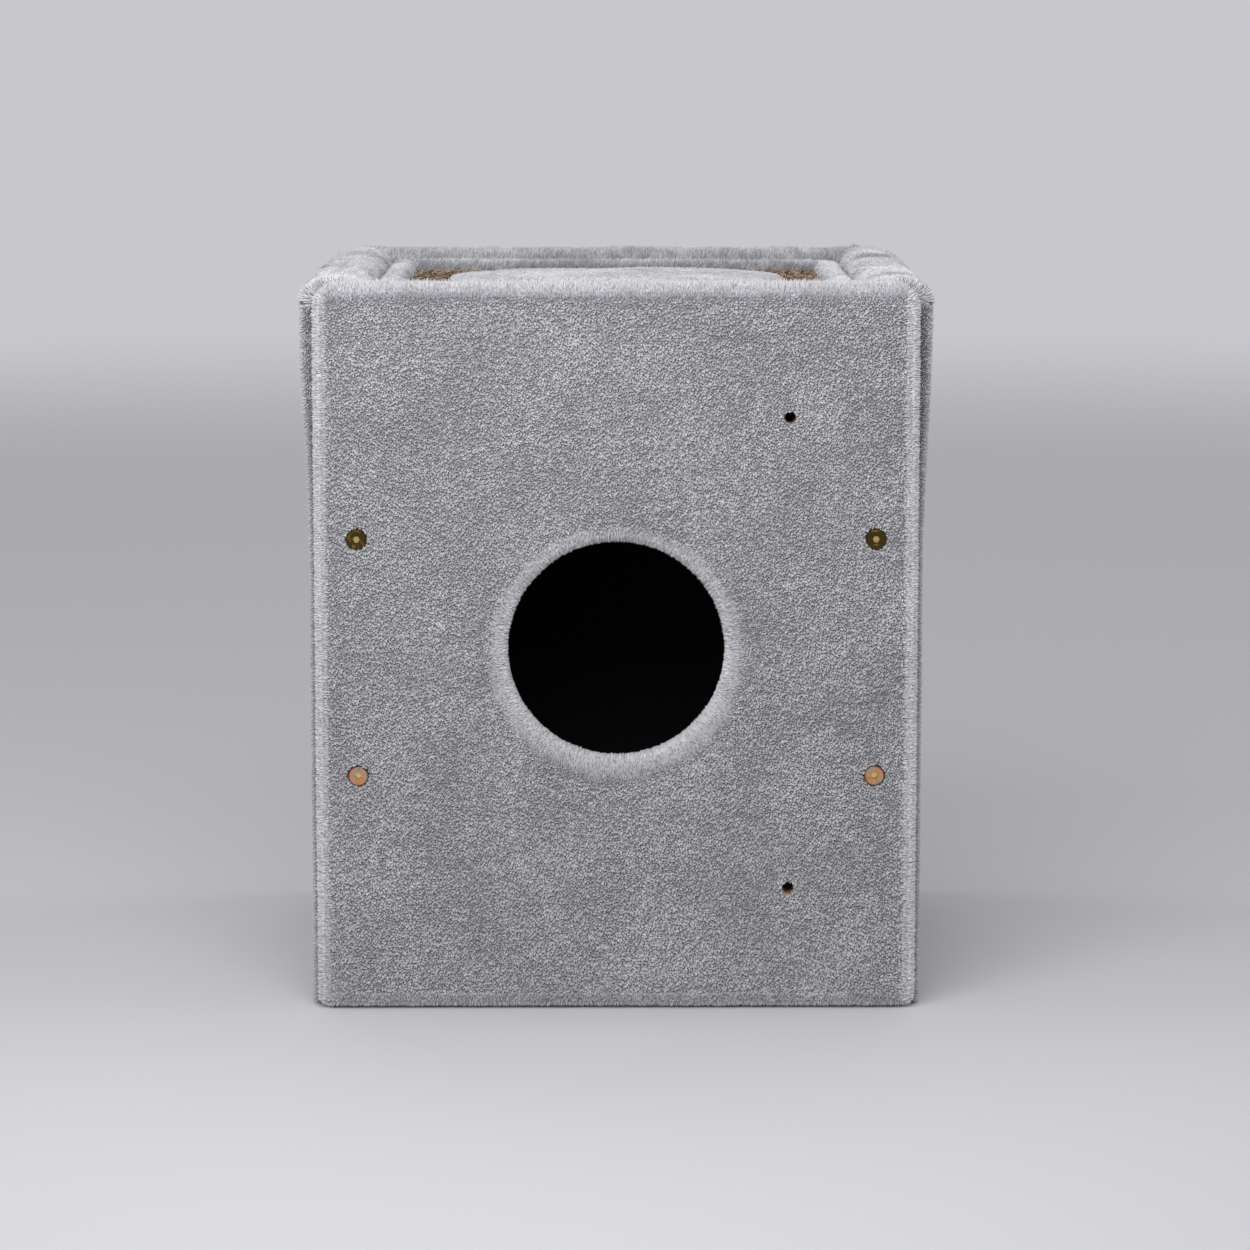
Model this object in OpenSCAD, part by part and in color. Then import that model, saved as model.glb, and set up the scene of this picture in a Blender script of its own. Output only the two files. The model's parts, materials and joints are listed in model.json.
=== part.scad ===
// Cat condo: a plush-covered box with a bolted-on front panel, a round entry hole
// and a shallow padded tray on top.
// Millimetres, +Z up, the front faces -Y. The origin lies on the floor under the middle.

/* [Front panel] */
// How far the front panel's plush reaches past the box's boards on each side
panel_reveal = 2; // [0:0.5:6]
// How far the front panel stands above the deck, as the front wall of the tray
panel_rise = 21; // [14:1:60]
// Radius of the panel's top corners, seen from the front
panel_top_r = 22; // [17:1:36]
// Radius of the panel's bottom corners, seen from the front
panel_bottom_r = 14; // [13:1:30]
// Radius of the soft edge round the front face
panel_edge_r = 12; // [8:1:13]
// Clear diameter of the entry hole, inside its plush lip
entry_d = 175; // [140:1:220]
// Height of the entry hole's centre above the floor
entry_z = 299; // [230:1:360]
// Radius of the plush lip round the entry hole
lip_r = 12; // [8:1:14]

/* [Box] */
// Width of the box over its boards
carcass_w = 490; // [470:1:520]
// Overall depth, from the front face to the padded back
overall_d = 460; // [400:1:520]
// Height of the deck's top face, which the tray lies on
deck_z = 579; // [540:1:585]
// Thickness of the boards
board_t = 15; // [12:1:18]
// Side of the square corner battens
batten_w = 38; // [34:1:48]

/* [Plush and lining] */
// Thickness of the plush over the boards
plush_t = 5; // [4:0.5:7]
// How far the plush swells outwards below the padded rim
swell = 9; // [4:1:14]
// Height at which the sides start to swell
swell_start_z = 360; // [300:1:460]
// Radius of the plush round the box's back corners, near the floor
wrap_corner_r = 12; // [8:1:14]
// Radius of the plush at the bottom edge
toe_r = 3; // [1:0.5:3.5]
// Thickness of the felt lining in the cabin
lining_t = 3; // [2:0.5:5]

/* [Tray] */
// Height of the padded rim and radius of its two shoulders, over its plush
rim_r = 22.5; // [18:0.5:26]
// Width of the padded rim's crown, between its shoulders
rim_crown_w = 13; // [8:1:16]
// Radius of the rim's centre line at the back corners
rim_bend_r = 9; // [6:0.5:14]
// Width of the inner roll
inner_roll_w = 22; // [14:1:26]
// Height of the inner roll above the deck
inner_roll_h = 13.5; // [12.5:0.5:18]
// Thickness of the looped mat
mat_t = 6; // [4:0.5:8]
// Radius of the mat's corners
mat_corner_r = 8; // [4:1:20]

/* [Cushion] */
// Width of the cushion between its corners
cushion_w = 296; // [240:1:340]
// Depth of the cushion between its corners
cushion_d = 220; // [180:1:280]
// Height of the cushion at its crown
cushion_t = 9; // [8.5:0.5:20]
// Height of the cushion at its edge
cushion_edge_t = 3; // [2.5:0.5:6]
// How far the cushion's sides draw in between its corners
cushion_draw = 5; // [2:0.5:12]

/* [Connectors] */
// Diameter of the connector bolts
bolt_d = 8; // [6:1:10]
// Length of the connector bolts under the head
bolt_l = 48; // [40:1:50]
// Diameter of the flat bolt heads
bolt_head_d = 16; // [14:1:20]
// Thickness of the bolt heads
bolt_head_t = 4; // [3:0.5:5]
// Size of the hexagon socket across its flats
bolt_socket_af = 5; // [4:0.5:6]
// Depth of the hexagon socket
bolt_socket_depth = 2.4; // [1:0.2:2.8]
// Height of the lower pair of connector bolts
bolt_low_z = 195; // [160:1:240]
// Height of the upper pair of connector bolts
bolt_high_z = 390; // [350:1:430]
// Outer diameter of the insert nuts
nut_d = 12; // [11.5:0.5:14]
// Length of the insert nuts
nut_l = 20; // [14:1:26]
// Diameter of the two empty fixing holes
fixing_hole_d = 9; // [6:0.5:12]
// Distance of the fixing holes to the right of the middle
fixing_x = 141; // [120:1:170]
// Height of the lower fixing hole
fixing_low_z = 101; // [60:1:150]
// Height of the upper fixing hole
fixing_high_z = 489; // [440:1:520]
// Shank diameter of the wood screws
screw_d = 4; // [3:0.5:5]
// Length of the wood screws
screw_l = 40; // [30:1:45]
// Head diameter of the wood screws
screw_head_d = 8; // [6.5:0.5:9]

/* [Hidden] */
$fn = 64;

// Clearances between neighbouring pieces
glue_gap = 0.1;
thread_gap = 0.1;
bolt_hole_gap = 0.25;
head_gap = 2;
roll_gap = 0.3;
mat_gap = 1;
lining_gap = 0.5;
rest_gap = 0.2;
// How far a cutting shape runs past the face that it cuts
cut_over = 1;

// Planes along the depth, from front to back
front_y = -overall_d / 2;
board_front_y = front_y + plush_t;
joint_y = board_front_y + board_t;
rear_y = overall_d / 2;
back_out_y = rear_y - swell - plush_t;
back_in_y = back_out_y - board_t;

// Planes across the width and height
side_x = carcass_w / 2;
inner_x = side_x - board_t;
batten_x = inner_x - batten_w / 2;
deck_under_z = deck_z - board_t;
panel_t = plush_t + board_t;
panel_w = carcass_w + 2 * panel_reveal;
panel_h = deck_z + panel_rise;

// Centre lines and reach of the two rolls round the tray
rim_half_w = rim_r + rim_crown_w / 2;
rim_x = side_x + plush_t + swell - rim_half_w;
rim_y = rear_y - rim_half_w;
rim_corner_r = rim_bend_r + rim_half_w;
inner_roll_x = rim_x - rim_half_w - roll_gap - inner_roll_w / 2;
inner_roll_y = rim_y - rim_half_w - roll_gap - inner_roll_w / 2;
mat_x = inner_roll_x - inner_roll_w / 2 - mat_gap;
mat_front_y = joint_y + mat_gap;
mat_back_y = inner_roll_y - inner_roll_w / 2 - mat_gap;
mat_top_z = deck_z + mat_t;
tray_mid_y = (mat_front_y + mat_back_y) / 2;

// Places of the fasteners
fixing_places = [for (z = [fixing_low_z, fixing_high_z]) [fixing_x, z]];
// Free depth of the batten's bore past the bolt's end
nut_room = 3;
batten_low_z = board_t;
batten_h = deck_under_z - batten_low_z;
// The side boards' screws lie midway between the connector bolts and the batten's ends,
// and the back board's screws at the bolts' heights, so that no two cross in a batten
bolt_z = [bolt_low_z, bolt_high_z];
bolt_places = [for (x = [-batten_x, batten_x], z = bolt_z) [x, z]];
batten_screw_z = [batten_low_z + bolt_low_z, bolt_low_z + bolt_high_z, bolt_high_z + deck_under_z] / 2;
batten_mid_y = [joint_y + batten_w / 2, back_in_y - batten_w / 2];
edge_screw_inset = 70;
edge_screw_y = [joint_y + edge_screw_inset, (joint_y + back_in_y) / 2, back_in_y - edge_screw_inset];
edge_screw_x = 90;
base_screw_z = board_t / 2;
deck_screw_z = deck_z - board_t / 2;

// Steps of the formed surfaces
corner_steps = 6;
swell_steps = 8;
cushion_sides = 48;
cushion_rings = 7;
cushion_edge_steps = 4;
// How square the cushion is in plan: 2 is an ellipse, and more is squarer
cushion_square = 3.2;
// Largest radius over the plush that still covers the boards' square corner, as a multiple of its thickness
corner_limit = 3.2;

plush_colour = "#A7A7AC";
board_colour = "#A5825C";
batten_colour = "#C9A877";
felt_colour = "#2B2B30";
foam_colour = "#E9E2C6";
mat_colour = "#7C5B3E";
bolt_colour = "#CDA552";
zinc_colour = "#B7B9BD";
cushion_colour = "#B1B1B6";

// Flat outline with its own radii at the top and bottom corners, standing on y = 0
module rounded_face(w, h, top_r, bottom_r) {
    translate([-w / 2, bottom_r]) square([w, h - top_r - bottom_r]);
    translate([-w / 2 + top_r, h / 2]) square([w - 2 * top_r, h / 2]);
    translate([-w / 2 + bottom_r, 0]) square([w - 2 * bottom_r, h / 2]);
    for (side = [-1, 1]) {
        translate([side * (w / 2 - top_r), h - top_r]) circle(top_r);
        translate([side * (w / 2 - bottom_r), bottom_r]) circle(bottom_r);
    }
}

// Flat outline on the XZ plane, given thickness from y = from_y towards +Y
module upright(from_y, thickness) {
    translate([0, from_y + thickness, 0]) rotate([90, 0, 0]) linear_extrude(thickness) children();
}

// Round hole or pin along +Y
module along_y(x, y, z, length, d) {
    translate([x, y, z]) rotate([-90, 0, 0]) cylinder(d = d, h = length);
}

// Section of the panel's soft edge: its front corner, at depth 0, is round
module edge_section(depth, height, r) {
    square([depth, height - r]);
    translate([r, 0]) square([depth - r, height]);
    intersection() {
        translate([r, height - r]) circle(r);
        square([depth, height]);
    }
}

// Round corner of the panel, with the soft edge turned about its own axis
module corner_puck(x, z, r) {
    translate([x, front_y, z]) rotate([-90, 0, 0]) rotate_extrude()
        intersection() {
            square([r, panel_t]);
            union() {
                square([r - panel_edge_r, panel_t]);
                translate([0, panel_edge_r]) square([r, panel_t - panel_edge_r]);
                translate([r - panel_edge_r, panel_edge_r]) circle(panel_edge_r);
            }
        }
}

// Outer form of the upholstered panel, soft along all four front edges
module panel_form() {
    half_h = panel_h / 2;
    // Between the corners, with soft left and right edges
    for (side = [-1, 1])
        translate([0, front_y, panel_bottom_r])
            linear_extrude(panel_h - panel_top_r - panel_bottom_r)
                mirror([side < 0 ? 1 : 0, 0])
                    rotate(-90) mirror([1, 0]) edge_section(panel_t, panel_w / 2, panel_edge_r);
    // Top and bottom strips, with a soft upper or lower edge
    translate([0, front_y, half_h]) rotate([90, 0, 90])
        linear_extrude(panel_w - 2 * panel_top_r, center = true)
            edge_section(panel_t, half_h, panel_edge_r);
    translate([0, front_y, half_h]) rotate([90, 0, 90])
        linear_extrude(panel_w - 2 * panel_bottom_r, center = true)
            mirror([0, 1]) edge_section(panel_t, half_h, panel_edge_r);
    for (side = [-1, 1]) {
        corner_puck(side * (panel_w / 2 - panel_top_r), panel_h - panel_top_r, panel_top_r);
        corner_puck(side * (panel_w / 2 - panel_bottom_r), panel_bottom_r, panel_bottom_r);
    }
}

// The front board without its holes; grow makes the pocket that the plush leaves for it
module front_board(grow) {
    inset = plush_t - grow;
    translate([0, 0, inset]) upright(board_front_y - grow, board_t + (grow > 0 ? grow + cut_over : 0))
        difference() {
            rounded_face(
                panel_w - 2 * inset, panel_h - 2 * inset,
                panel_top_r - inset, panel_bottom_r - inset
            );
            translate([0, entry_z - inset]) circle(entry_d / 2 + plush_t - grow);
        }
}

// Space inside the plush lip: the entry hole, opening out round its front edge
module entry_space() {
    entry_r = entry_d / 2;
    translate([0, front_y, entry_z]) rotate([-90, 0, 0]) rotate_extrude() {
        translate([0, -cut_over]) square([entry_r, panel_t + 2 * cut_over]);
        translate([0, -cut_over]) square([entry_r + lip_r, cut_over]);
        difference() {
            square([entry_r + lip_r, lip_r]);
            translate([entry_r + lip_r, lip_r]) circle(lip_r);
        }
    }
}

module front_panel() {
    color(board_colour) difference() {
        front_board(0);
        for (p = bolt_places)
            along_y(p.x, board_front_y - cut_over, p.y, board_t + 2 * cut_over, bolt_d + 2 * bolt_hole_gap);
        for (p = fixing_places)
            along_y(p.x, board_front_y - cut_over, p.y, board_t + 2 * cut_over, fixing_hole_d);
    }
}

module front_cover() {
    color(plush_colour) difference() {
        panel_form();
        front_board(glue_gap);
        entry_space();
        for (p = bolt_places)
            along_y(p.x, front_y - cut_over, p.y, panel_t, bolt_head_d + 2 * head_gap);
        for (p = fixing_places)
            along_y(p.x, front_y - cut_over, p.y, panel_t, fixing_hole_d);
    }
}

// Countersunk wood screw, its head at z = 0 and its point along +Z; grow widens it into its hole
module wood_screw(grow) {
    head_h = (screw_head_d - screw_d) / 2;
    point_l = screw_d;
    rotate_extrude() polygon([
        [0, 0], [screw_head_d / 2 + grow, 0], [screw_d / 2 + grow, head_h],
        [screw_d / 2 + grow, screw_l - point_l], [0, screw_l + grow]
    ]);
}

// Screws driven through one side board at the given places along the depth and height
module side_screws(side, places, grow) {
    for (p = places)
        translate([side * side_x, p.x, p.y]) rotate([0, -side * 90, 0]) wood_screw(grow);
}

// Screws driven through the back board at the given places across the width and height
module rear_screws(places, grow) {
    for (p = places)
        translate([p.x, back_out_y, p.y]) rotate([90, 0, 0]) wood_screw(grow);
}

function batten_screw_places(y) = [for (z = batten_screw_z) [y, z]];
function edge_screw_places(z) = [for (y = edge_screw_y) [y, z]];
function back_batten_places(x) = [for (z = bolt_z) [x, z]];
function back_edge_places(z) = [for (x = [-edge_screw_x, edge_screw_x]) [x, z]];
all_back_places = concat(
    back_batten_places(-batten_x), back_batten_places(batten_x),
    back_edge_places(base_screw_z), back_edge_places(deck_screw_z)
);

module side_panel(side) {
    color(board_colour) difference() {
        translate([side > 0 ? inner_x : -side_x, joint_y, 0]) cube([board_t, back_in_y - joint_y, deck_z]);
        for (y = batten_mid_y) side_screws(side, batten_screw_places(y), thread_gap);
        side_screws(side, edge_screw_places(base_screw_z), thread_gap);
        side_screws(side, edge_screw_places(deck_screw_z), thread_gap);
    }
}

module left_panel() {
    side_panel(-1);
}

module right_panel() {
    side_panel(1);
}

module back_panel() {
    color(board_colour) difference() {
        translate([-side_x, back_in_y, 0]) cube([carcass_w, board_t, deck_z]);
        rear_screws(all_back_places, thread_gap);
    }
}

// Board that lies between the sides, drilled along its edges for the screws
module level_board(low_z, screw_z) {
    color(board_colour) difference() {
        translate([-inner_x, joint_y, low_z]) cube([2 * inner_x, back_in_y - joint_y, board_t]);
        for (side = [-1, 1]) side_screws(side, edge_screw_places(screw_z), thread_gap);
        rear_screws(back_edge_places(screw_z), thread_gap);
    }
}

module base_panel() {
    level_board(0, base_screw_z);
}

module deck_panel() {
    level_board(deck_under_z, deck_screw_z);
}

// Square upright in one corner of the cabin, between the base and the deck
module batten_bar(side, mid_y) {
    translate([side * batten_x - batten_w / 2, mid_y - batten_w / 2, batten_low_z])
        cube([batten_w, batten_w, batten_h]);
}

module front_batten(side) {
    mid_y = batten_mid_y[0];
    color(batten_colour) difference() {
        batten_bar(side, mid_y);
        side_screws(side, batten_screw_places(mid_y), thread_gap);
        for (z = bolt_z) {
            along_y(side * batten_x, joint_y - cut_over, z, nut_l + cut_over, nut_d + 2 * thread_gap);
            along_y(side * batten_x, joint_y, z, bolt_l - board_t + nut_room, bolt_d + 2 * bolt_hole_gap);
        }
    }
}

module rear_batten(side) {
    mid_y = batten_mid_y[1];
    color(batten_colour) difference() {
        batten_bar(side, mid_y);
        side_screws(side, batten_screw_places(mid_y), thread_gap);
        rear_screws(back_batten_places(side * batten_x), thread_gap);
    }
}

module front_left_batten() {
    front_batten(-1);
}

module front_right_batten() {
    front_batten(1);
}

module rear_left_batten() {
    rear_batten(-1);
}

module rear_right_batten() {
    rear_batten(1);
}

module insert_nuts() {
    color(zinc_colour) for (p = bolt_places) difference() {
        along_y(p.x, joint_y, p.y, nut_l, nut_d);
        along_y(p.x, joint_y - cut_over, p.y, nut_l + 2 * cut_over, bolt_d + 2 * thread_gap);
    }
}

// Flat-headed connector bolt, its head's seat at z = 0 and its shank along +Z
module connector_bolt() {
    head_chamfer = 0.8;
    tip_chamfer = 1;
    difference() {
        rotate_extrude() polygon([
            [0, -bolt_head_t], [bolt_head_d / 2 - head_chamfer, -bolt_head_t],
            [bolt_head_d / 2, head_chamfer - bolt_head_t], [bolt_head_d / 2, 0], [bolt_d / 2, 0],
            [bolt_d / 2, bolt_l - tip_chamfer], [bolt_d / 2 - tip_chamfer, bolt_l], [0, bolt_l]
        ]);
        translate([0, 0, -bolt_head_t - cut_over])
            cylinder(d = bolt_socket_af / cos(30), h = bolt_socket_depth + cut_over, $fn = 6);
    }
}

module connector_bolts() {
    color(bolt_colour) for (p = bolt_places)
        translate([p.x, board_front_y, p.y]) rotate([-90, 0, 0]) connector_bolt();
}

module batten_screws() {
    color(zinc_colour) for (side = [-1, 1], y = batten_mid_y)
        side_screws(side, batten_screw_places(y), 0);
}

module base_screws() {
    color(zinc_colour) for (side = [-1, 1]) side_screws(side, edge_screw_places(base_screw_z), 0);
}

module deck_screws() {
    color(zinc_colour) for (side = [-1, 1]) side_screws(side, edge_screw_places(deck_screw_z), 0);
}

module back_screws() {
    color(zinc_colour) rear_screws(all_back_places, 0);
}

// Share of the swell at a height, easing from 0 at its start to 1 at the deck
function swell_share(z) =
    z <= swell_start_z ? 0 : (1 - cos(180 * (z - swell_start_z) / (deck_z - swell_start_z))) / 2;
// How far the plush draws in round the bottom edge
function toe_inset(z) = z >= toe_r ? 0 : toe_r - sqrt(toe_r * toe_r - (toe_r - z) * (toe_r - z));
function reach(z) = plush_t + swell * swell_share(z) - toe_inset(z);
// The back corners round off towards the rim, as far as the plush still covers the boards' corner
function corner_r(z) =
    min(wrap_corner_r + (rim_corner_r - wrap_corner_r) * swell_share(z), corner_limit * reach(z));

// Outline of the plush at a height: along the left side, round the back and along the right side
function wrap_outline(z) =
    let (half_w = side_x + reach(z), back_y = back_out_y + reach(z), r = corner_r(z))
    concat(
        [[-half_w, joint_y, z]],
        [for (i = [0 : corner_steps]) let (a = 180 - 90 * i / corner_steps)
            [-half_w + r + r * cos(a), back_y - r + r * sin(a), z]],
        [for (i = [0 : corner_steps]) let (a = 90 - 90 * i / corner_steps)
            [half_w - r + r * cos(a), back_y - r + r * sin(a), z]],
        [[half_w, joint_y, z]]
    );

// Faces of a stack of rings with n points each, closed at both ends
function ring_faces(n, rings) = concat(
    [[for (i = [n - 1 : -1 : 0]) i]],
    [for (k = [0 : rings - 2], i = [0 : n - 1]) [k * n + i, k * n + (i + 1) % n, (k + 1) * n + (i + 1) % n]],
    [for (k = [0 : rings - 2], i = [0 : n - 1]) [k * n + i, (k + 1) * n + (i + 1) % n, (k + 1) * n + i]],
    [[for (i = [0 : n - 1]) (rings - 1) * n + i]]
);

// Outer form of the plush round the box, swelling towards the padded rim
module wrap_form() {
    toe_steps = 3;
    levels = concat(
        [for (i = [0 : toe_steps]) toe_r * (1 - cos(90 * i / toe_steps))],
        [for (i = [0 : swell_steps]) swell_start_z + (deck_z - swell_start_z) * i / swell_steps]
    );
    rings = [for (z = levels) wrap_outline(z)];
    polyhedron(
        points = [for (ring = rings) each ring],
        faces = ring_faces(len(rings[0]), len(rings)),
        convexity = 4
    );
}

module side_cover(side) {
    far_x = side_x + plush_t + swell + cut_over;
    near_x = side_x + glue_gap;
    color(plush_colour) intersection() {
        wrap_form();
        translate([side > 0 ? near_x : -far_x, joint_y - cut_over, -cut_over])
            cube([far_x - near_x, back_out_y - joint_y + cut_over, deck_z + 2 * cut_over]);
    }
}

module left_cover() {
    side_cover(-1);
}

module right_cover() {
    side_cover(1);
}

module back_cover() {
    far_x = side_x + plush_t + swell + cut_over;
    color(plush_colour) intersection() {
        wrap_form();
        translate([-far_x, back_out_y + glue_gap, -cut_over])
            cube([2 * far_x, plush_t + swell + cut_over, deck_z + 2 * cut_over]);
    }
}

// Roll round three sides of the tray, with a flat section that stands on the deck
module round_tray(line_x, line_y, bend_r, reach) {
    for (side = [-1, 1]) {
        translate([side * line_x, line_y - bend_r, deck_z]) rotate([90, 0, 0])
            linear_extrude(line_y - bend_r - joint_y) children();
        translate([side * (line_x - bend_r), line_y - bend_r, deck_z]) rotate(side > 0 ? 0 : 90)
            rotate_extrude(angle = 90) intersection() {
                translate([bend_r, 0]) children();
                square([bend_r + reach, 2 * reach]);
            }
    }
    translate([bend_r - line_x, line_y, deck_z]) rotate([90, 0, 90])
        linear_extrude(2 * (line_x - bend_r)) children();
}

// Section of the padded rim: a round shoulder on each side of its crown
module padded_section(r) {
    intersection() {
        union() {
            for (side = [-1, 1]) translate([side * rim_crown_w / 2, 0]) circle(r);
            translate([-rim_crown_w / 2, 0]) square([rim_crown_w, r]);
        }
        translate([-r - rim_crown_w / 2, 0]) square([2 * r + rim_crown_w, r]);
    }
}

// Padded roll round the tray, with shoulders of radius r
module padded_roll(r) {
    round_tray(rim_x, rim_y, rim_bend_r, r + rim_crown_w / 2) padded_section(r);
}

// Section of the inner roll: upright sides under a round top
module roll_section() {
    r = inner_roll_w / 2;
    intersection() {
        union() {
            translate([0, inner_roll_h - r]) circle(r);
            translate([-r, 0]) square([inner_roll_w, inner_roll_h - r]);
        }
        translate([-r, 0]) square([inner_roll_w, inner_roll_h]);
    }
}

module rim_foam() {
    color(foam_colour) padded_roll(rim_r - plush_t - glue_gap);
}

module rim_cover() {
    color(plush_colour) difference() {
        padded_roll(rim_r);
        padded_roll(rim_r - plush_t);
    }
}

module inner_roll() {
    bend_r = inner_roll_w / 2;
    color(plush_colour) round_tray(inner_roll_x, inner_roll_y, bend_r, bend_r) roll_section();
}

module scratch_mat() {
    color(mat_colour) translate([0, mat_front_y, deck_z]) linear_extrude(mat_t)
        rounded_face(2 * mat_x, mat_back_y - mat_front_y, mat_corner_r, mat_corner_r);
}

// Reach of the cushion's edge at an angle: a soft square with its sides drawn in
function cushion_reach(a) =
    let (n = cushion_square, c = abs(cos(a)), s = abs(sin(a)))
    let (full = pow(pow(c, n) + pow(s, n), -1 / n), draw = 2 * cushion_draw / cushion_w)
    full * (1 - draw * cos(2 * a) * cos(2 * a));

// Place of a cushion point, from its share of the reach, its inset from the edge and its height
function cushion_point(a, share, inset, z) = [
    (cushion_w / 2 - inset) * share * cushion_reach(a) * cos(a),
    tray_mid_y + (cushion_d / 2 - inset) * share * cushion_reach(a) * sin(a),
    mat_top_z + rest_gap + z
];

module cushion() {
    edge_r = cushion_edge_t / 2;
    crown = cushion_t - cushion_edge_t;
    angles = [for (i = [cushion_sides - 1 : -1 : 0]) 360 * i / cushion_sides];
    // Round edge from the flat underside to the top, then rings up to the crown
    edge = [for (i = [0 : cushion_edge_steps]) let (b = -90 + 180 * i / cushion_edge_steps)
        [for (a = angles) cushion_point(a, 1, edge_r * (1 - cos(b)), edge_r * (1 + sin(b)))]];
    top = [for (k = [1 : cushion_rings]) let (share = 1 - k / (cushion_rings + 1))
        [for (a = angles) cushion_point(a, share, edge_r, cushion_edge_t + crown * (1 - share * share))]];
    rings = concat(edge, top);
    color(cushion_colour) polyhedron(
        points = [for (ring = rings) each ring],
        faces = ring_faces(cushion_sides, len(rings)),
        convexity = 2
    );
}

// Felt on a side wall, between the battens
module side_lining(side) {
    from_y = joint_y + batten_w + lining_gap;
    to_y = back_in_y - batten_w - lining_gap;
    color(felt_colour) translate([side > 0 ? inner_x - lining_t : -inner_x, from_y, board_t + lining_t])
        cube([lining_t, to_y - from_y, deck_under_z - board_t - 2 * lining_t]);
}

module left_lining() {
    side_lining(-1);
}

module right_lining() {
    side_lining(1);
}

module back_lining() {
    half_w = inner_x - batten_w - lining_gap;
    color(felt_colour) translate([-half_w, back_in_y - lining_t, board_t + lining_t])
        cube([2 * half_w, lining_t, deck_under_z - board_t - 2 * lining_t]);
}

// Felt on the floor or ceiling, cut out round the battens
module level_lining(low_z) {
    notch = batten_w + 2 * lining_gap;
    color(felt_colour) difference() {
        translate([-inner_x, joint_y, low_z]) cube([2 * inner_x, back_in_y - joint_y, lining_t]);
        for (side = [-1, 1], y = batten_mid_y)
            translate([side * batten_x - notch / 2, y - notch / 2, low_z - cut_over])
                cube([notch, notch, lining_t + 2 * cut_over]);
    }
}

module floor_lining() {
    level_lining(board_t);
}

module deck_lining() {
    level_lining(deck_under_z - lining_t);
}

front_panel();
front_cover();
left_panel();
right_panel();
back_panel();
base_panel();
deck_panel();
front_left_batten();
front_right_batten();
rear_left_batten();
rear_right_batten();
insert_nuts();
connector_bolts();
batten_screws();
base_screws();
deck_screws();
back_screws();
left_cover();
right_cover();
back_cover();
rim_foam();
rim_cover();
inner_roll();
scratch_mat();
cushion();
left_lining();
right_lining();
back_lining();
floor_lining();
deck_lining();
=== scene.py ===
"""Dresses the cat condo's frame: plush with real pile, a padded rim, a looped mat, a cushion and felt."""

import json
import math

import bmesh
import bpy
import numpy as np
from bpy.props import FloatProperty, FloatVectorProperty, PointerProperty
from mathutils import Matrix, Vector, noise


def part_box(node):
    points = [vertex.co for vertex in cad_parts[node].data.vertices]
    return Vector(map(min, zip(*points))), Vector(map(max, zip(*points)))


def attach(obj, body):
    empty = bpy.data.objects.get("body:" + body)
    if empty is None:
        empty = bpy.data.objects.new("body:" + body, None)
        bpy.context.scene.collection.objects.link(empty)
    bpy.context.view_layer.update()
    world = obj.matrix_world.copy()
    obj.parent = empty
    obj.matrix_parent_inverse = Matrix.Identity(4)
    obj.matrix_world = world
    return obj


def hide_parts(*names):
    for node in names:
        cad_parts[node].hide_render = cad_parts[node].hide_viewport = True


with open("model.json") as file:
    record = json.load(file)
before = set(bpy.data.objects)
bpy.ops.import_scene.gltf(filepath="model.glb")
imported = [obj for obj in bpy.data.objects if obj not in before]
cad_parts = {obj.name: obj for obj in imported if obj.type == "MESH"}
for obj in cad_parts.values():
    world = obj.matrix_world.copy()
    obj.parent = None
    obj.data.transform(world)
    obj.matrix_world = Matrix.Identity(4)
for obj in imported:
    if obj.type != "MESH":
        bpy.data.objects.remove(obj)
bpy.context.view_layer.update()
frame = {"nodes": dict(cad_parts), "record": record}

bl_info = {
    "name": "Cat condo",
    "version": (1, 0, 0),
    "blender": (4, 5, 0),
    "location": "View3D > Sidebar > Cat condo",
    "description": "Makes the plush, padding, mat, lining and finishes of a cat condo round its frame",
    "category": "Object",
}

MM = 0.001

# The frame's own places, in metres
PANEL_LOW, PANEL_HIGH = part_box("front_cover")
BOARD_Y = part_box("front_panel")[0].y
WALL_LOW, WALL_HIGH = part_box("left_cover")
SIDE_X = -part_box("left_panel")[0].x
BACK_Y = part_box("back_panel")[1].y
RIM_LOW, RIM_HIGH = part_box("rim_cover")
ROLL_LOW, ROLL_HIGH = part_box("inner_roll")
MAT_LOW, MAT_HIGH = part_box("scratch_mat")
PAD_LOW, PAD_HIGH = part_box("cushion")
BOLT_LOW, BOLT_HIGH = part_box("connector_bolts")
BATTENS = [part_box(f"{end}_{side}_batten") for end in ("front", "rear") for side in ("left", "right")]
ENTRY = next(o["box_m"] for o in frame["record"]["physics"]["openings"] if o["name"] == "entry")
ENTRY_Z = (ENTRY[0][2] + ENTRY[1][2]) / 2
FIXING = next(m for m in frame["record"]["mounts"] if m["name"] == "fixing_holes")
PLUSH_T = BOARD_Y - PANEL_LOW.y
SWELL = RIM_HIGH.x - SIDE_X - PLUSH_T
# The name of the map that the pile and the loops carry: across is each strand's shade, up its height
STRAND_MAP = "OFBake"
# How far each coat of pile leans with its nap, how unevenly it stands and how much its shade drifts
COATS = {
    "face": (0.3, 0.3, 0.8), "edge": (0.3, 0.2, 0.4), "wall": (0.5, 0.3, 0.6), "silk": (2.2, 0.22, 1.5),
    "pad": (1.6, 0.4, 1.6),
}
# How much each plush glows, and how far up a tuft its foot, painted dark as the shade deep in the pile,
# ends and its pale tip starts
PLUSHES = {"Grey plush pile": (0.2, 0.2, 0.5), "Silky plush pile": (0.25, 0.05, 0.4)}
# How far the lowest tufts stay above the floor
FLOOR_GAP = 0.3 * MM
# Points along the wrap's ring: the lap and turn of its hem, a side, a back corner and the back
LAP_STEPS, TURN_STEPS, SIDE_STEPS, CORNER_STEPS, BACK_STEPS = 3, 5, 82, 13, 98


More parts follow.
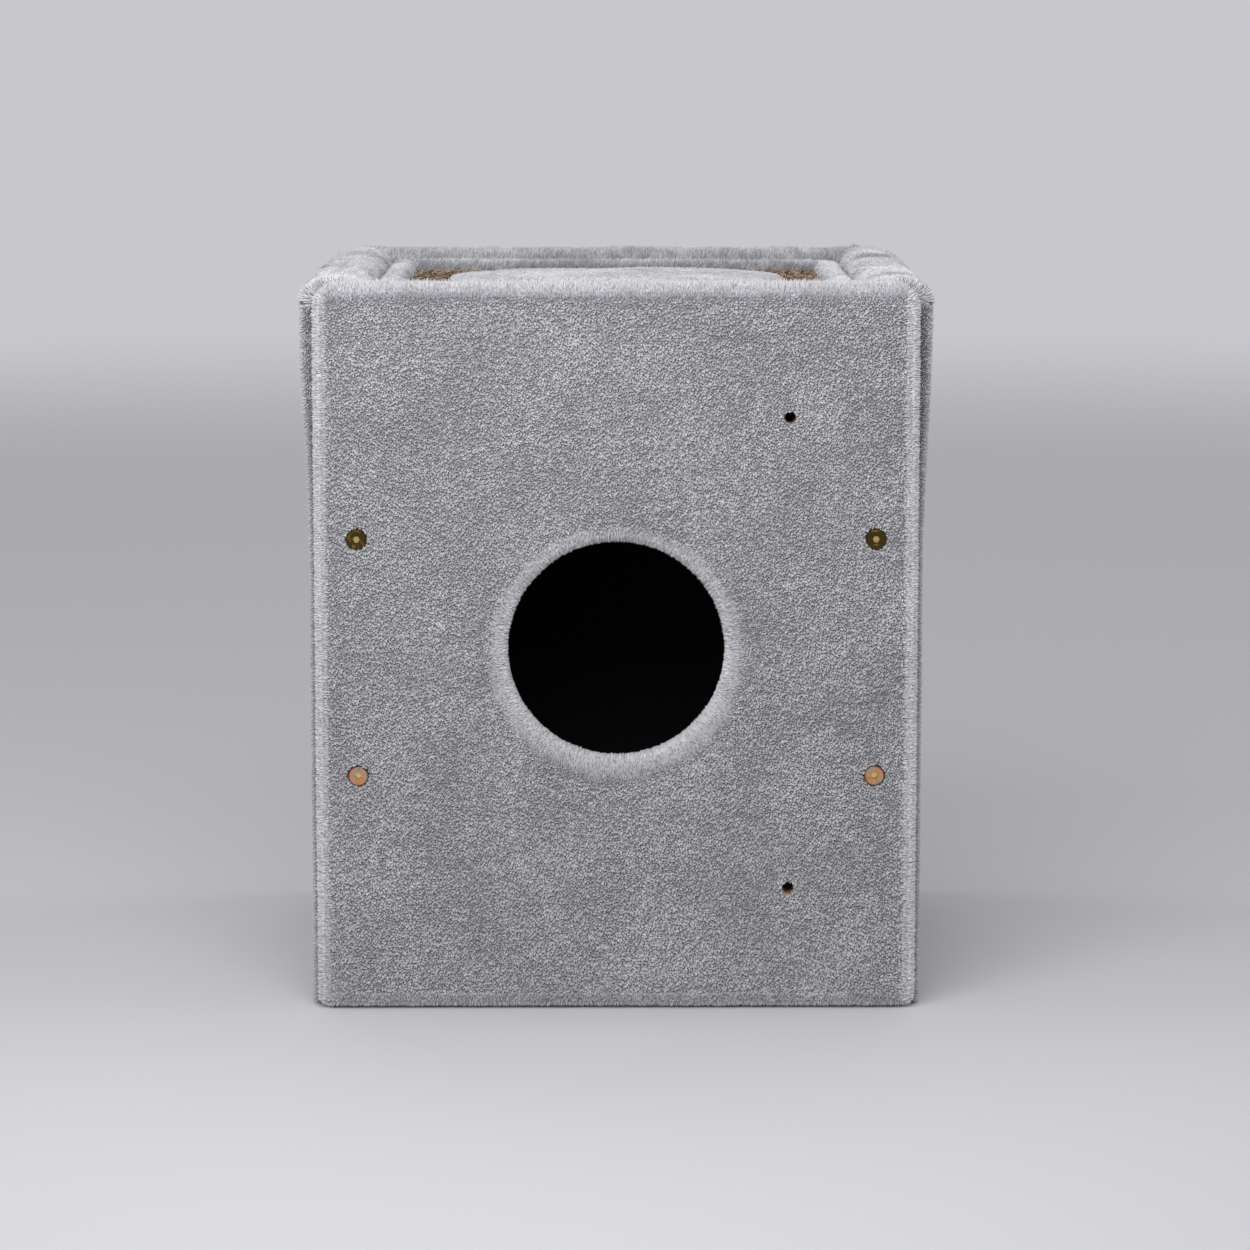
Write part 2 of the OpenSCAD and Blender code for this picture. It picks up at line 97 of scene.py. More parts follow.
def linear(hex_colour):
    """A colour written as #RRGGBB, in the linear light that Blender works in, with full alpha."""
    parts = [int(hex_colour[i:i + 2], 16) / 255 for i in (1, 3, 5)]
    return (*[p / 12.92 if p <= 0.04045 else ((p + 0.055) / 1.055) ** 2.4 for p in parts], 1.0)


def length(name, description, millimetres):
    """A length that a user can set, given in millimetres and kept in metres."""
    return FloatProperty(name=name, description=description, default=millimetres * MM, min=0, unit="LENGTH")


def number(name, description, default, low=0.0, high=4.0):
    """A plain number that a user can set."""
    return FloatProperty(name=name, description=description, default=default, min=low, max=high)


def angle(name, description, degrees):
    """An angle that a user can set, given in degrees."""
    return FloatProperty(name=name, description=description, default=math.radians(degrees), unit="ROTATION")


def colour(name, description, hex_colour):
    """A colour that a user can set, written as #RRGGBB."""
    return FloatVectorProperty(
        name=name, description=description, default=linear(hex_colour), size=4, subtype="COLOR",
        min=0, max=1,
    )


def toned(tint, times):
    """A colour made that many times as bright, with full alpha."""
    return [min(1.0, part * times) for part in tint[:3]] + [1.0]


class CondoForm(bpy.types.PropertyGroup):
    """Radii and places of the soft forms, where the frame's boxes don't give them."""

    top_r: length("Top corners", "Radius of the front panel's top corners", 22)
    bottom_r: length("Bottom corners", "Radius of the front panel's bottom corners", 10)
    entry_d: length("Entry hole", "Clear diameter of the entry hole inside its lip", 175)
    head_r: length("Bolt heads", "Radius of the flat bolt heads", 8)
    head_gap: length("Bolt gap", "Bare ring of board round each bolt head", 1.3)
    hole_gap: length("Hole gap", "Bare ring of board round each fixing hole", 0.9)
    swell_start: length("Swell start", "Height at which the sides start to swell", 360)
    corner_r: length("Back corners", "Radius of the plush round the back corners near the floor", 12)
    rim_w: length("Rim", "Width of the padded rim", 58)
    rim_bend: length("Rim bend", "Radius of the rim's centre line at the back corners", 9)
    roll_w: length("Inner roll", "Width of the inner roll", 22)
    end_r: length("Roll ends", "Radius with which the rolls turn over at their front ends", 6)
    toe_r: length("Toe", "Radius of the plush at the bottom edge", 3)


class CondoPile(bpy.types.PropertyGroup):
    """Sizes of the plush and its pile."""

    depth: length("Ground depth", "How deep the knitted ground lies under the tips of the pile", 3)
    skin: length("Ground thickness", "Thickness of the knitted ground", 1.2)
    turn_r: length("Ground turn", "Radius with which the ground turns over the board's edges", 6)
    band: length("Combed band", "Width of the band along the side edges that is combed over", 15)
    top_band: length("Combed top", "Width of this band along the front panel's top edge", 20)
    lip_band: length("Combed lip", "Middle width of the softer band that is combed into the entry", 24)
    lip_fine: number("Fine lip", "Share of the lip's and the top's band with finer pile", 0.7, high=1.0)
    band_fine: number("Fine band", "Share of the side edges' band with finer pile", 0.8, high=1.0)
    overlap: length("Overlap", "How far two coats of pile grow into each other", 4)
    hem: length("Hem", "Width of the strip of finer pile beside the front panel on the side covers", 12)
    settle: length("Settle", "How far the plush settles into the padding at the top of the sides", 2.4)
    face_spacing: length("Face spacing", "Least distance between two tufts on the front face", 1.45)
    face_length: length("Face length", "Length of a tuft on the front face", 3.2)
    face_width: length("Face width", "Width of a tuft there, at its root", 4.2)
    edge_spacing: length("Edge spacing", "Least distance between two tufts on edges and lip", 0.95)
    edge_length: length("Edge length", "Length of a tuft there", 4.2)
    edge_width: length("Edge width", "Width of a tuft there, at its root", 2.3)
    wall_spacing: length("Wall spacing", "Least distance between two tufts on the sides and back", 1.75)
    wall_length: length("Wall length", "Length of a tuft there", 4.4)
    wall_width: length("Wall width", "Width of a tuft there, at its root", 4.6)
    pad_spacing: length("Cushion spacing", "Least distance between two tufts on the cushion", 1.1)
    pad_length: length("Cushion length", "Length of a tuft there", 3.2)
    pad_width: length("Cushion width", "Width of a tuft there, at its root", 1.6)
    silk_spacing: length("Silk spacing", "Least distance between two tufts on the rolls", 1.05)
    silk_length: length("Silk length", "Length of a tuft there", 5.5)
    silk_width: length("Silk width", "Width of a tuft there, at its root", 1.6)
    clump: number("Clumping", "How far neighbouring tufts lean together", 0.8)
    clump_size: length("Clump size", "Distance over which tufts lean together", 9)
    sweep: number("Sweep", "How far the whole nap drifts in broad patches", 0.7)
    sweep_size: length("Sweep size", "Size of those patches", 75)


class CondoMat(bpy.types.PropertyGroup):
    """Sizes of the looped mat."""

    ground: length("Ground", "Thickness of the mat's woven ground", 2)
    loop_r: length("Loop radius", "Radius of a yarn loop", 2.6)
    yarn_r: length("Yarn radius", "Radius of the yarn", 0.75)
    spacing: length("Loop spacing", "Least distance between two loops", 3.5)


class CondoColours(bpy.types.PropertyGroup):
    """Colours of the finishes."""

    tip: colour("Plush tip", "Lightest tips of the grey pile", "#DDDDE1")
    shade: colour("Plush shade", "Darker tips of the grey pile", "#A2A2A7")
    # Painted shade: the roots and the knitted ground are coloured darker for the shade deep in the pile
    root: colour("Plush root", "Roots of the grey pile, in their own shadow", "#9D9DA2")
    ground: colour("Plush ground", "Knitted ground under the pile", "#8A8A90")
    yarn_light: colour("Light yarn", "Lightest yarn of the mat", "#B29C88")
    yarn_dark: colour("Dark yarn", "Darkest yarn of the mat", "#3E3026")
    # Painted shade: the felt is charcoal to stand in for the shade inside the cabin
    felt: colour("Felt", "Charcoal felt of the cabin", "#25252A")
    board: colour("Chipboard", "Middle tone of the raw chipboard", "#A5825C")
    wood: colour("Softwood", "Middle tone of the battens", "#C9A877")
    # Painted glint: the zinc's own gold, used bright on the socket floors
    gold: colour("Yellow zinc", "Bare gold in the sockets of the passivated bolts", "#F0D08C")
    zinc: colour("Zinc", "Bright zinc of the screws and nuts", "#B7B9BD")
    floor: colour("Floor", "Pale studio floor", "#D0D0D4")
    backdrop: colour("Backdrop", "Plain surround behind the floor", "#C8C8CC")


class CondoStage(bpy.types.PropertyGroup):
    """Camera and light."""

    distance: length("Camera distance", "From the camera to the front face", 3300)
    height: length("Camera height", "Height of the camera above the floor", 828)
    across: length("Camera offset", "How far left of the middle the camera stands", 8.6)
    pitch: angle("Pitch", "How far down it looks", 7.53)
    turn: angle("Turn", "How far right it looks", 0.272)
    lens: number("Lens", "Focal length on a 36 mm sensor, in millimetres", 118.2, high=1000)
    shift: number("Shift", "Vertical shift of the lens", -0.07, low=-1.0)
    key: number("Key light", "Power of the large lamp over the front, in watts", 15, high=1000)
    front: number("Front light", "Strength of the broad light from the front", 0.3)
    sides: number("Side lights", "Strength of the two low lights from left and right", 0.45)
    back: number("Back light", "Strength of the light over the back", 0.3)
    sky: number("Sky", "Strength of the even light all round", 0.36)


def add(tree, kind, values=None, links=None, **settings):
    """Adds one node: its settings, then the values and links of its inputs, by name or place."""
    made = tree.nodes.new(kind)
    for key, value in settings.items():
        setattr(made, key, value)
    for key, value in (values or {}).items():
        made.inputs[key].default_value = value
    for key, source in (links or {}).items():
        tree.links.new(source, made.inputs[key])
    return made


def new_material(name, **surface):
    """A material with its Principled shader, whose constant sockets are set here by name."""
    material = bpy.data.materials.new(name)
    material.use_nodes = True
    shader = material.node_tree.nodes["Principled BSDF"]
    for key, value in surface.items():
        shader.inputs[key.replace("_", " ").title().replace("Ior", "IOR")].default_value = value
    return material, material.node_tree, shader


def plush_pile(name, colours, sheen, painted_shade_to, pale_from):
    """Cut polyester pile: matt fibres, painted shade between tufts, pale at the tips and glowing at the
    edges.
    """
    material, tree, shader = new_material(
        name, roughness=0.85, sheen_weight=sheen, sheen_roughness=0.35, specular_ior_level=0.2
    )
    place = add(tree, "ShaderNodeUVMap", uv_map=STRAND_MAP)
    parts = add(tree, "ShaderNodeSeparateXYZ", links={0: place.outputs["UV"]})
    tips = add(
        tree, "ShaderNodeMix", {6: colours.shade, 7: colours.tip}, {0: parts.outputs["X"]},
        data_type="RGBA",
    )
    up = add(
        tree, "ShaderNodeMapRange", {"From Min": painted_shade_to, "From Max": pale_from},
        {"Value": parts.outputs["Y"]}, interpolation_type="SMOOTHSTEP",
    )
    fibre = add(
        tree, "ShaderNodeMix", {6: colours.root}, {0: up.outputs[0], 7: tips.outputs[2]},
        data_type="RGBA",
    )
    tree.links.new(fibre.outputs[2], shader.inputs["Base Color"])
    return material


def plush_ground(colours):
    """Knitted polyester ground: dull, with rows of small stitches that show only between the tufts,
    coloured dark as painted shade of the deep pile.
    """
    stitch = 1.4 * MM
    material, tree, shader = new_material("Plush ground knit", roughness=0.95, specular_ior_level=0.1)
    place = add(tree, "ShaderNodeTexCoord").outputs["Object"]
    rows = add(tree, "ShaderNodeTexNoise", {"Scale": 1 / stitch, "Detail": 2.0}, {"Vector": place})
    knit = add(
        tree, "ShaderNodeMix", {6: colours.ground, 7: colours.root}, {0: rows.outputs[0]},
        data_type="RGBA",
    )
    bump = add(
        tree, "ShaderNodeBump", {"Strength": 0.4, "Distance": 0.4 * MM}, {"Height": rows.outputs[0]}
    )
    tree.links.new(knit.outputs[2], shader.inputs["Base Color"])
    tree.links.new(bump.outputs[0], shader.inputs["Normal"])
    return material


def looped_yarn(colours):
    """Twisted coarse yarn: brown with pale strands, dull and dry."""
    material, tree, shader = new_material("Looped brown yarn", roughness=0.9, specular_ior_level=0.15)
    place = add(tree, "ShaderNodeUVMap", uv_map=STRAND_MAP)
    parts = add(tree, "ShaderNodeSeparateXYZ", links={0: place.outputs["UV"]})
    ply = add(
        tree, "ShaderNodeMix", {6: colours.yarn_dark, 7: colours.yarn_light}, {0: parts.outputs["X"]},
        data_type="RGBA",
    )
    # Painted shade: each loop's foot is darker, for the shade down among the loops
    foot = toned(colours.yarn_dark, times=0.35)
    up = add(tree, "ShaderNodeMapRange", {"From Max": 0.6}, {"Value": parts.outputs["Y"]})
    yarn = add(tree, "ShaderNodeMix", {6: foot}, {0: up.outputs[0], 7: ply.outputs[2]}, data_type="RGBA")
    tree.links.new(yarn.outputs[2], shader.inputs["Base Color"])
    return material


def woven_ground(colours):
    """Jute ground of the mat: dark brown crossing threads, seen only between the loops."""
    thread = 2.2 * MM
    material, tree, shader = new_material("Jute ground", roughness=0.95, specular_ior_level=0.1)
    place = add(tree, "ShaderNodeTexCoord").outputs["Object"]
    weave = add(
        tree, "ShaderNodeTexVoronoi", {"Scale": 1 / thread}, {"Vector": place}, distance="MANHATTAN"
    )
    gap = toned(colours.yarn_dark, times=0.3)
    tone = add(
        tree, "ShaderNodeMix", {6: colours.yarn_dark, 7: gap}, {0: weave.outputs["Distance"]},
        data_type="RGBA",
    )
    tree.links.new(tone.outputs[2], shader.inputs["Base Color"])
    return material


def needle_felt(colours):
    """Needle-punched felt: short fibres pressed flat, without shine, slightly mottled; its dark colour is
    painted shade for the unlit cabin.
    """
    fibre = 1.2 * MM
    material, tree, shader = new_material("Charcoal needle felt", roughness=1.0, specular_ior_level=0.05)
    place = add(tree, "ShaderNodeTexCoord").outputs["Object"]
    mottle = add(tree, "ShaderNodeTexNoise", {"Scale": 1 / fibre, "Detail": 4.0}, {"Vector": place})
    pale = toned(colours.felt, times=2.2)
    tone = add(
        tree, "ShaderNodeMix", {6: colours.felt, 7: pale}, {0: mottle.outputs[0]}, data_type="RGBA"
    )
    bump = add(
        tree, "ShaderNodeBump", {"Strength": 0.6, "Distance": 0.5 * MM}, {"Height": mottle.outputs[0]}
    )
    tree.links.new(tone.outputs[2], shader.inputs["Base Color"])
    tree.links.new(bump.outputs[0], shader.inputs["Normal"])
    return material


def chipboard(colours):
    """Raw chipboard: pressed flakes a few millimetres long in several browns, with dark pores."""
    flake, pore = 4.5 * MM, 0.9 * MM
    material, tree, shader = new_material("Raw chipboard", roughness=0.8, specular_ior_level=0.25)
    place = add(tree, "ShaderNodeTexCoord").outputs["Object"]
    bend = add(tree, "ShaderNodeTexNoise", {"Scale": 0.5 / flake, "Detail": 3.0}, {"Vector": place})
    blend = add(
        tree, "ShaderNodeMix", {0: flake}, {4: place, 5: bend.outputs["Color"]}, data_type="VECTOR"
    )
    flakes = add(tree, "ShaderNodeTexVoronoi", {"Scale": 1 / flake}, {"Vector": blend.outputs[1]})
    tone = add(tree, "ShaderNodeSeparateColor", links={0: flakes.outputs["Color"]})
    light = toned(colours.board, times=1.5)
    dark = toned(colours.board, times=0.55)
    chips = add(tree, "ShaderNodeMix", {6: dark, 7: light}, {0: tone.outputs[0]}, data_type="RGBA")
    pores = add(tree, "ShaderNodeTexNoise", {"Scale": 1 / pore, "Detail": 2.0}, {"Vector": place})
    filled = add(
        tree, "ShaderNodeMapRange", {"From Min": 0.3, "From Max": 0.45}, {"Value": pores.outputs[0]}
    )
    wood = add(
        tree, "ShaderNodeMix", {6: dark}, {0: filled.outputs[0], 7: chips.outputs[2]}, data_type="RGBA"
    )
    bump = add(
        tree, "ShaderNodeBump", {"Strength": 0.3, "Distance": 0.3 * MM}, {"Height": filled.outputs[0]}
    )
    tree.links.new(wood.outputs[2], shader.inputs["Base Color"])
    tree.links.new(bump.outputs[0], shader.inputs["Normal"])
    return material


def softwood(colours):
    """Planed spruce: pale, with darker growth rings along the length of the batten."""
    ring, wander = 5 * MM, 60 * MM
    material, tree, shader = new_material("Planed spruce", roughness=0.6, specular_ior_level=0.35)
    place = add(tree, "ShaderNodeTexCoord").outputs["Object"]
    along = add(tree, "ShaderNodeMapping", {"Scale": (1 / ring, 1 / ring, 1 / wander)}, {"Vector": place})
    grain = add(
        tree, "ShaderNodeTexNoise", {"Scale": 1.0, "Detail": 4.0, "Distortion": 0.6},
        {"Vector": along.outputs[0]},
    )
    dark = toned(colours.wood, times=0.6)
    wood = add(tree, "ShaderNodeMix", {6: dark, 7: colours.wood}, {0: grain.outputs[0]}, data_type="RGBA")
    bump = add(
        tree, "ShaderNodeBump", {"Strength": 0.15, "Distance": 0.2 * MM}, {"Height": grain.outputs[0]}
    )
    tree.links.new(wood.outputs[2], shader.inputs["Base Color"])
    tree.links.new(bump.outputs[0], shader.inputs["Normal"])
    return material


def yellow_zinc(colours):
    """Yellow-passivated zinc: metal under a thin film of pink, green and orange, with a painted reflection
    that turns it olive brown higher up.
    """
    # Past socket lies the floor of each socket, and past head the shank
    patch, scratch, head, socket = 7 * MM, 0.7 * MM, BOLT_LOW.y + 3.9 * MM, BOLT_LOW.y + 1.5 * MM
    material, tree, shader = new_material("Yellow passivated zinc", metallic=1.0)
    coords = add(tree, "ShaderNodeTexCoord").outputs
    place = coords["Object"]
    parts = add(tree, "ShaderNodeSeparateXYZ", links={0: place}).outputs
    film = add(
        tree, "ShaderNodeTexNoise", {"Scale": 1 / patch, "Detail": 1.5, "Distortion": 0.8},
        {"Vector": place},
    )
    # Painted reflection: the film is pushed darker with height, so the upper bolts come out olive brown and
    # the lower ones pale and pink, as their heads mirror darker surroundings above
    height_reflection = add(
        tree, "ShaderNodeMapRange",
        {"From Min": BOLT_LOW.z, "From Max": BOLT_HIGH.z, "To Min": -0.15, "To Max": 0.36},
        {"Value": parts["Z"]},
    )
    thick = add(tree, "ShaderNodeMath", links={0: film.outputs[0], 1: height_reflection.outputs[0]}, operation="ADD")
    ramp = add(tree, "ShaderNodeValToRGB", links={0: thick.outputs[0]})
    stops = (
        (0.2, "#D08A88"), (0.3, "#A9BC8C"), (0.38, "#DE9F90"),
        (0.5, "#E0A063"), (0.66, "#A08A3E"), (0.8, "#5A4A2A"),
    )
    given = len(ramp.color_ramp.elements)
    for step, (at, hex_colour) in enumerate(stops):
        stop = ramp.color_ramp.elements[step] if step < given else ramp.color_ramp.elements.new(at)
        stop.position, stop.color = at, linear(hex_colour)
    # Painted light: the socket's floor stays gold, painted bright as a glint, and the upright sides of the
    # head and the socket are painted dark as shade
    deep = add(tree, "ShaderNodeMath", {1: socket}, {0: parts["Y"]}, operation="GREATER_THAN")
    gold = add(
        tree, "ShaderNodeMix", {7: colours.gold}, {0: deep.outputs[0], 6: ramp.outputs[0]},
        data_type="RGBA",
    )
    turned = add(tree, "ShaderNodeSeparateXYZ", links={0: coords["Normal"]}).outputs
    flat = add(tree, "ShaderNodeMath", links={0: turned["Y"]}, operation="ABSOLUTE")
    shank = add(tree, "ShaderNodeMath", {1: head}, {0: parts["Y"]}, operation="GREATER_THAN")
    unshaded = add(
        tree, "ShaderNodeMath", links={0: flat.outputs[0], 1: shank.outputs[0]}, operation="MAXIMUM"
    )
    dark = toned(colours.gold, times=0.12)
    gold = add(
        tree, "ShaderNodeMix", {6: dark}, {0: unshaded.outputs[0], 7: gold.outputs[2]}, data_type="RGBA"
    )
    marks = add(tree, "ShaderNodeTexNoise", {"Scale": 1 / scratch, "Detail": 3.0}, {"Vector": place})
    rough = add(tree, "ShaderNodeMapRange", {"To Min": 0.16, "To Max": 0.38}, {"Value": marks.outputs[0]})
    tree.links.new(gold.outputs[2], shader.inputs["Base Color"])
    tree.links.new(rough.outputs[0], shader.inputs["Roughness"])
    return material


def bright_zinc(colours):
    """Bright zinc plating: a cool grey metal with a faint spangle."""
    spangle = 3 * MM
    material, tree, shader = new_material("Bright zinc plating", metallic=1.0)
    place = add(tree, "ShaderNodeTexCoord").outputs["Object"]
    grains = add(tree, "ShaderNodeTexVoronoi", {"Scale": 1 / spangle}, {"Vector": place})
    dark = toned(colours.zinc, times=0.75)
    tone = add(
        tree, "ShaderNodeMix", {6: dark, 7: colours.zinc}, {0: grains.outputs["Distance"]},
        data_type="RGBA",
    )
    rough = add(
        tree, "ShaderNodeMapRange", {"To Min": 0.25, "To Max": 0.45},
        {"Value": grains.outputs["Distance"]},
    )
    tree.links.new(tone.outputs[2], shader.inputs["Base Color"])
    tree.links.new(rough.outputs[0], shader.inputs["Roughness"])
    return material


def studio_floor(colours):
    """Matt studio floor that fades into the pale surround far from the object."""
    fade_from, fade_to = 3.5, 7.0
    material, tree, shader = new_material("Studio floor", roughness=0.9, base_color=colours.floor)
    place = add(tree, "ShaderNodeTexCoord").outputs["Object"]
    reach = add(tree, "ShaderNodeVectorMath", links={0: place}, operation="LENGTH")
    fade = add(
        tree, "ShaderNodeMapRange", {"From Min": fade_from, "From Max": fade_to},
        {"Value": reach.outputs["Value"]}, interpolation_type="SMOOTHSTEP",
    )
    clear = add(tree, "ShaderNodeBsdfTransparent")
    mix = add(
        tree, "ShaderNodeMixShader",
        links={0: fade.outputs[0], 1: shader.outputs[0], 2: clear.outputs[0]},
    )
    tree.links.new(mix.outputs[0], tree.nodes["Material Output"].inputs["Surface"])
    return material


def finish_of(name, make, *values):
    """The material of that name, made the first time it is asked for."""
    return bpy.data.materials.get(name) or make(*values)


def link(name, mesh, *materials):
    """Puts a mesh in the scene as an object at the origin."""
    obj = bpy.data.objects.new(name, mesh)
    bpy.context.collection.objects.link(obj)
    for material in materials:
        mesh.materials.append(material)
    return obj


def skin(name, rows, ring=False, flip=False, caps=False):
    """A mesh over a grid of points; ring closes each row, and caps close the first and last row."""
    rows = np.asarray(rows)
    count, width = rows.shape[:2]
    index = np.arange(count * width).reshape(count, width)
    beside = np.roll(index, -1, axis=1)
    span = width if ring else width - 1
    corners = [index[:-1, :span], beside[:-1, :span], beside[1:, :span], index[1:, :span]]
    faces = np.stack(corners, axis=-1).reshape(-1, 4).tolist()
    if caps:
        faces += [index[0, ::-1].tolist(), index[-1].tolist()]
    if flip:
        faces = [face[::-1] for face in faces]
    mesh = bpy.data.meshes.new(name)
    mesh.from_pydata(rows.reshape(-1, 3).tolist(), [], faces)
    tidy_mesh(mesh)
    return mesh


def tidy_mesh(mesh, merge=0.02 * MM):
    """Merges points that lie on each other, drops faces with no area and smooths the rest."""
    work = bmesh.new()
    work.from_mesh(mesh)
    bmesh.ops.remove_doubles(work, verts=work.verts, dist=merge)
    bmesh.ops.dissolve_degenerate(work, edges=work.edges, dist=merge)
    work.to_mesh(mesh)
    work.free()
    mesh.shade_smooth()


def apply_modifiers(obj):
    """Turns a piece and its modifiers into a plain mesh."""
    graph = bpy.context.evaluated_depsgraph_get()
    made = bpy.data.meshes.new_from_object(obj.evaluated_get(graph))
    old = obj.data
    obj.modifiers.clear()
    obj.data = made
    bpy.data.meshes.remove(old)
    made.name = obj.name


def thicken(obj, thickness):
    """Gives a skin its thickness, inwards, with the second material on its inner side and rim."""
    wall = obj.modifiers.new("Thickness", "SOLIDIFY")
    wall.thickness = thickness
    wall.offset = -1
    wall.material_offset = 1
    wall.material_offset_rim = 1
    apply_modifiers(obj)


def ripple(points, size, seed):
    """Smooth noise from -1 to 1 at each point, with waves of about that size."""
    stride = (7.3, 3.1, 5.7)
    shift = Vector([seed * part for part in stride])
    flat = np.reshape(points, (-1, 3))
    values = [noise.noise(Vector(p) / size + shift) for p in flat]
    return np.reshape(values, np.shape(points)[:-1])


def new_tree(name, inputs, output):
    """A geometry node tree with named inputs, and its group input's outputs."""
    tree = bpy.data.node_groups.new(name, "GeometryNodeTree")
    for label, kind in inputs:
        tree.interface.new_socket(label, in_out="INPUT", socket_type=f"NodeSocket{kind}")
    tree.interface.new_socket(output, in_out="OUTPUT", socket_type="NodeSocketGeometry")
    return tree, add(tree, "NodeGroupInput").outputs


def mark_strand(tree, strand, height, side):
    """Keeps the height and side of each point of one strand, for its map."""
    for name, value in (("height", height), ("side", side)):
        strand = add(
            tree, "GeometryNodeStoreNamedAttribute", {"Name": name},
            {0: strand, "Value": value.outputs[0]}, data_type="FLOAT", domain="POINT",
        ).outputs[0]
    return strand


def scatter(tree, start):
    """Points spread by chance over the ground, none closer to another than the spacing."""
    crowding = 4.0
    area = add(
        tree, "ShaderNodeMath", None, {0: start["Spacing"], 1: start["Spacing"]}, operation="MULTIPLY"
    )
    dense = add(tree, "ShaderNodeMath", {0: crowding}, {1: area.outputs[0]}, operation="DIVIDE")
    return add(
        tree, "GeometryNodeDistributePointsOnFaces", None,
        {0: start["Ground"], 2: start["Spacing"], 3: dense.outputs[0], 6: start["Seed"]},
        distribute_method="POISSON",
    )


def close_strands(tree, start, strands, shade, across, lowest=None):
    """Shades and realizes instanced strands, keeps them off the floor, writes their map and material."""
    made = add(
        tree, "GeometryNodeStoreNamedAttribute", {"Name": "shade"}, {0: strands, "Value": shade},
        data_type="FLOAT", domain="INSTANCE",
    ).outputs[0]
    made = add(tree, "GeometryNodeRealizeInstances", links={0: made}).outputs[0]
    if lowest:
        place = add(tree, "GeometryNodeInputPosition").outputs[0]
        parts = add(tree, "ShaderNodeSeparateXYZ", links={0: place}).outputs
        high = add(tree, "ShaderNodeMath", links={0: parts["Z"], 1: start[lowest]}, operation="MAXIMUM")
        up = add(tree, "ShaderNodeCombineXYZ", links={0: parts["X"], 1: parts["Y"], 2: high.outputs[0]})
        made = add(tree, "GeometryNodeSetPosition", links={0: made, "Position": up.outputs[0]}).outputs[0]
    read = {
        key: add(tree, "GeometryNodeInputNamedAttribute", {"Name": key}, data_type="FLOAT").outputs[0]
        for key in ("shade", "side", "height")
    }
    wide = add(
        tree, "ShaderNodeMath", {1: across}, {0: read["side"], 2: read["shade"]}, operation="MULTIPLY_ADD"
    )
    spot = add(tree, "ShaderNodeCombineXYZ", links={0: wide.outputs[0], 1: read["height"]})
    made = add(
        tree, "GeometryNodeStoreNamedAttribute", {"Name": STRAND_MAP},
        {0: made, "Value": spot.outputs[0]}, data_type="FLOAT2", domain="CORNER",
    ).outputs[0]
    for key in ("shade", "side", "height", "nap", "tone"):
        made = add(tree, "GeometryNodeRemoveAttribute", {"Name": key}, {0: made}).outputs[0]
    made = add(tree, "GeometryNodeSetMaterial", links={0: made, "Material": start["Material"]}).outputs[0]
    add(tree, "NodeGroupOutput", links={0: made})


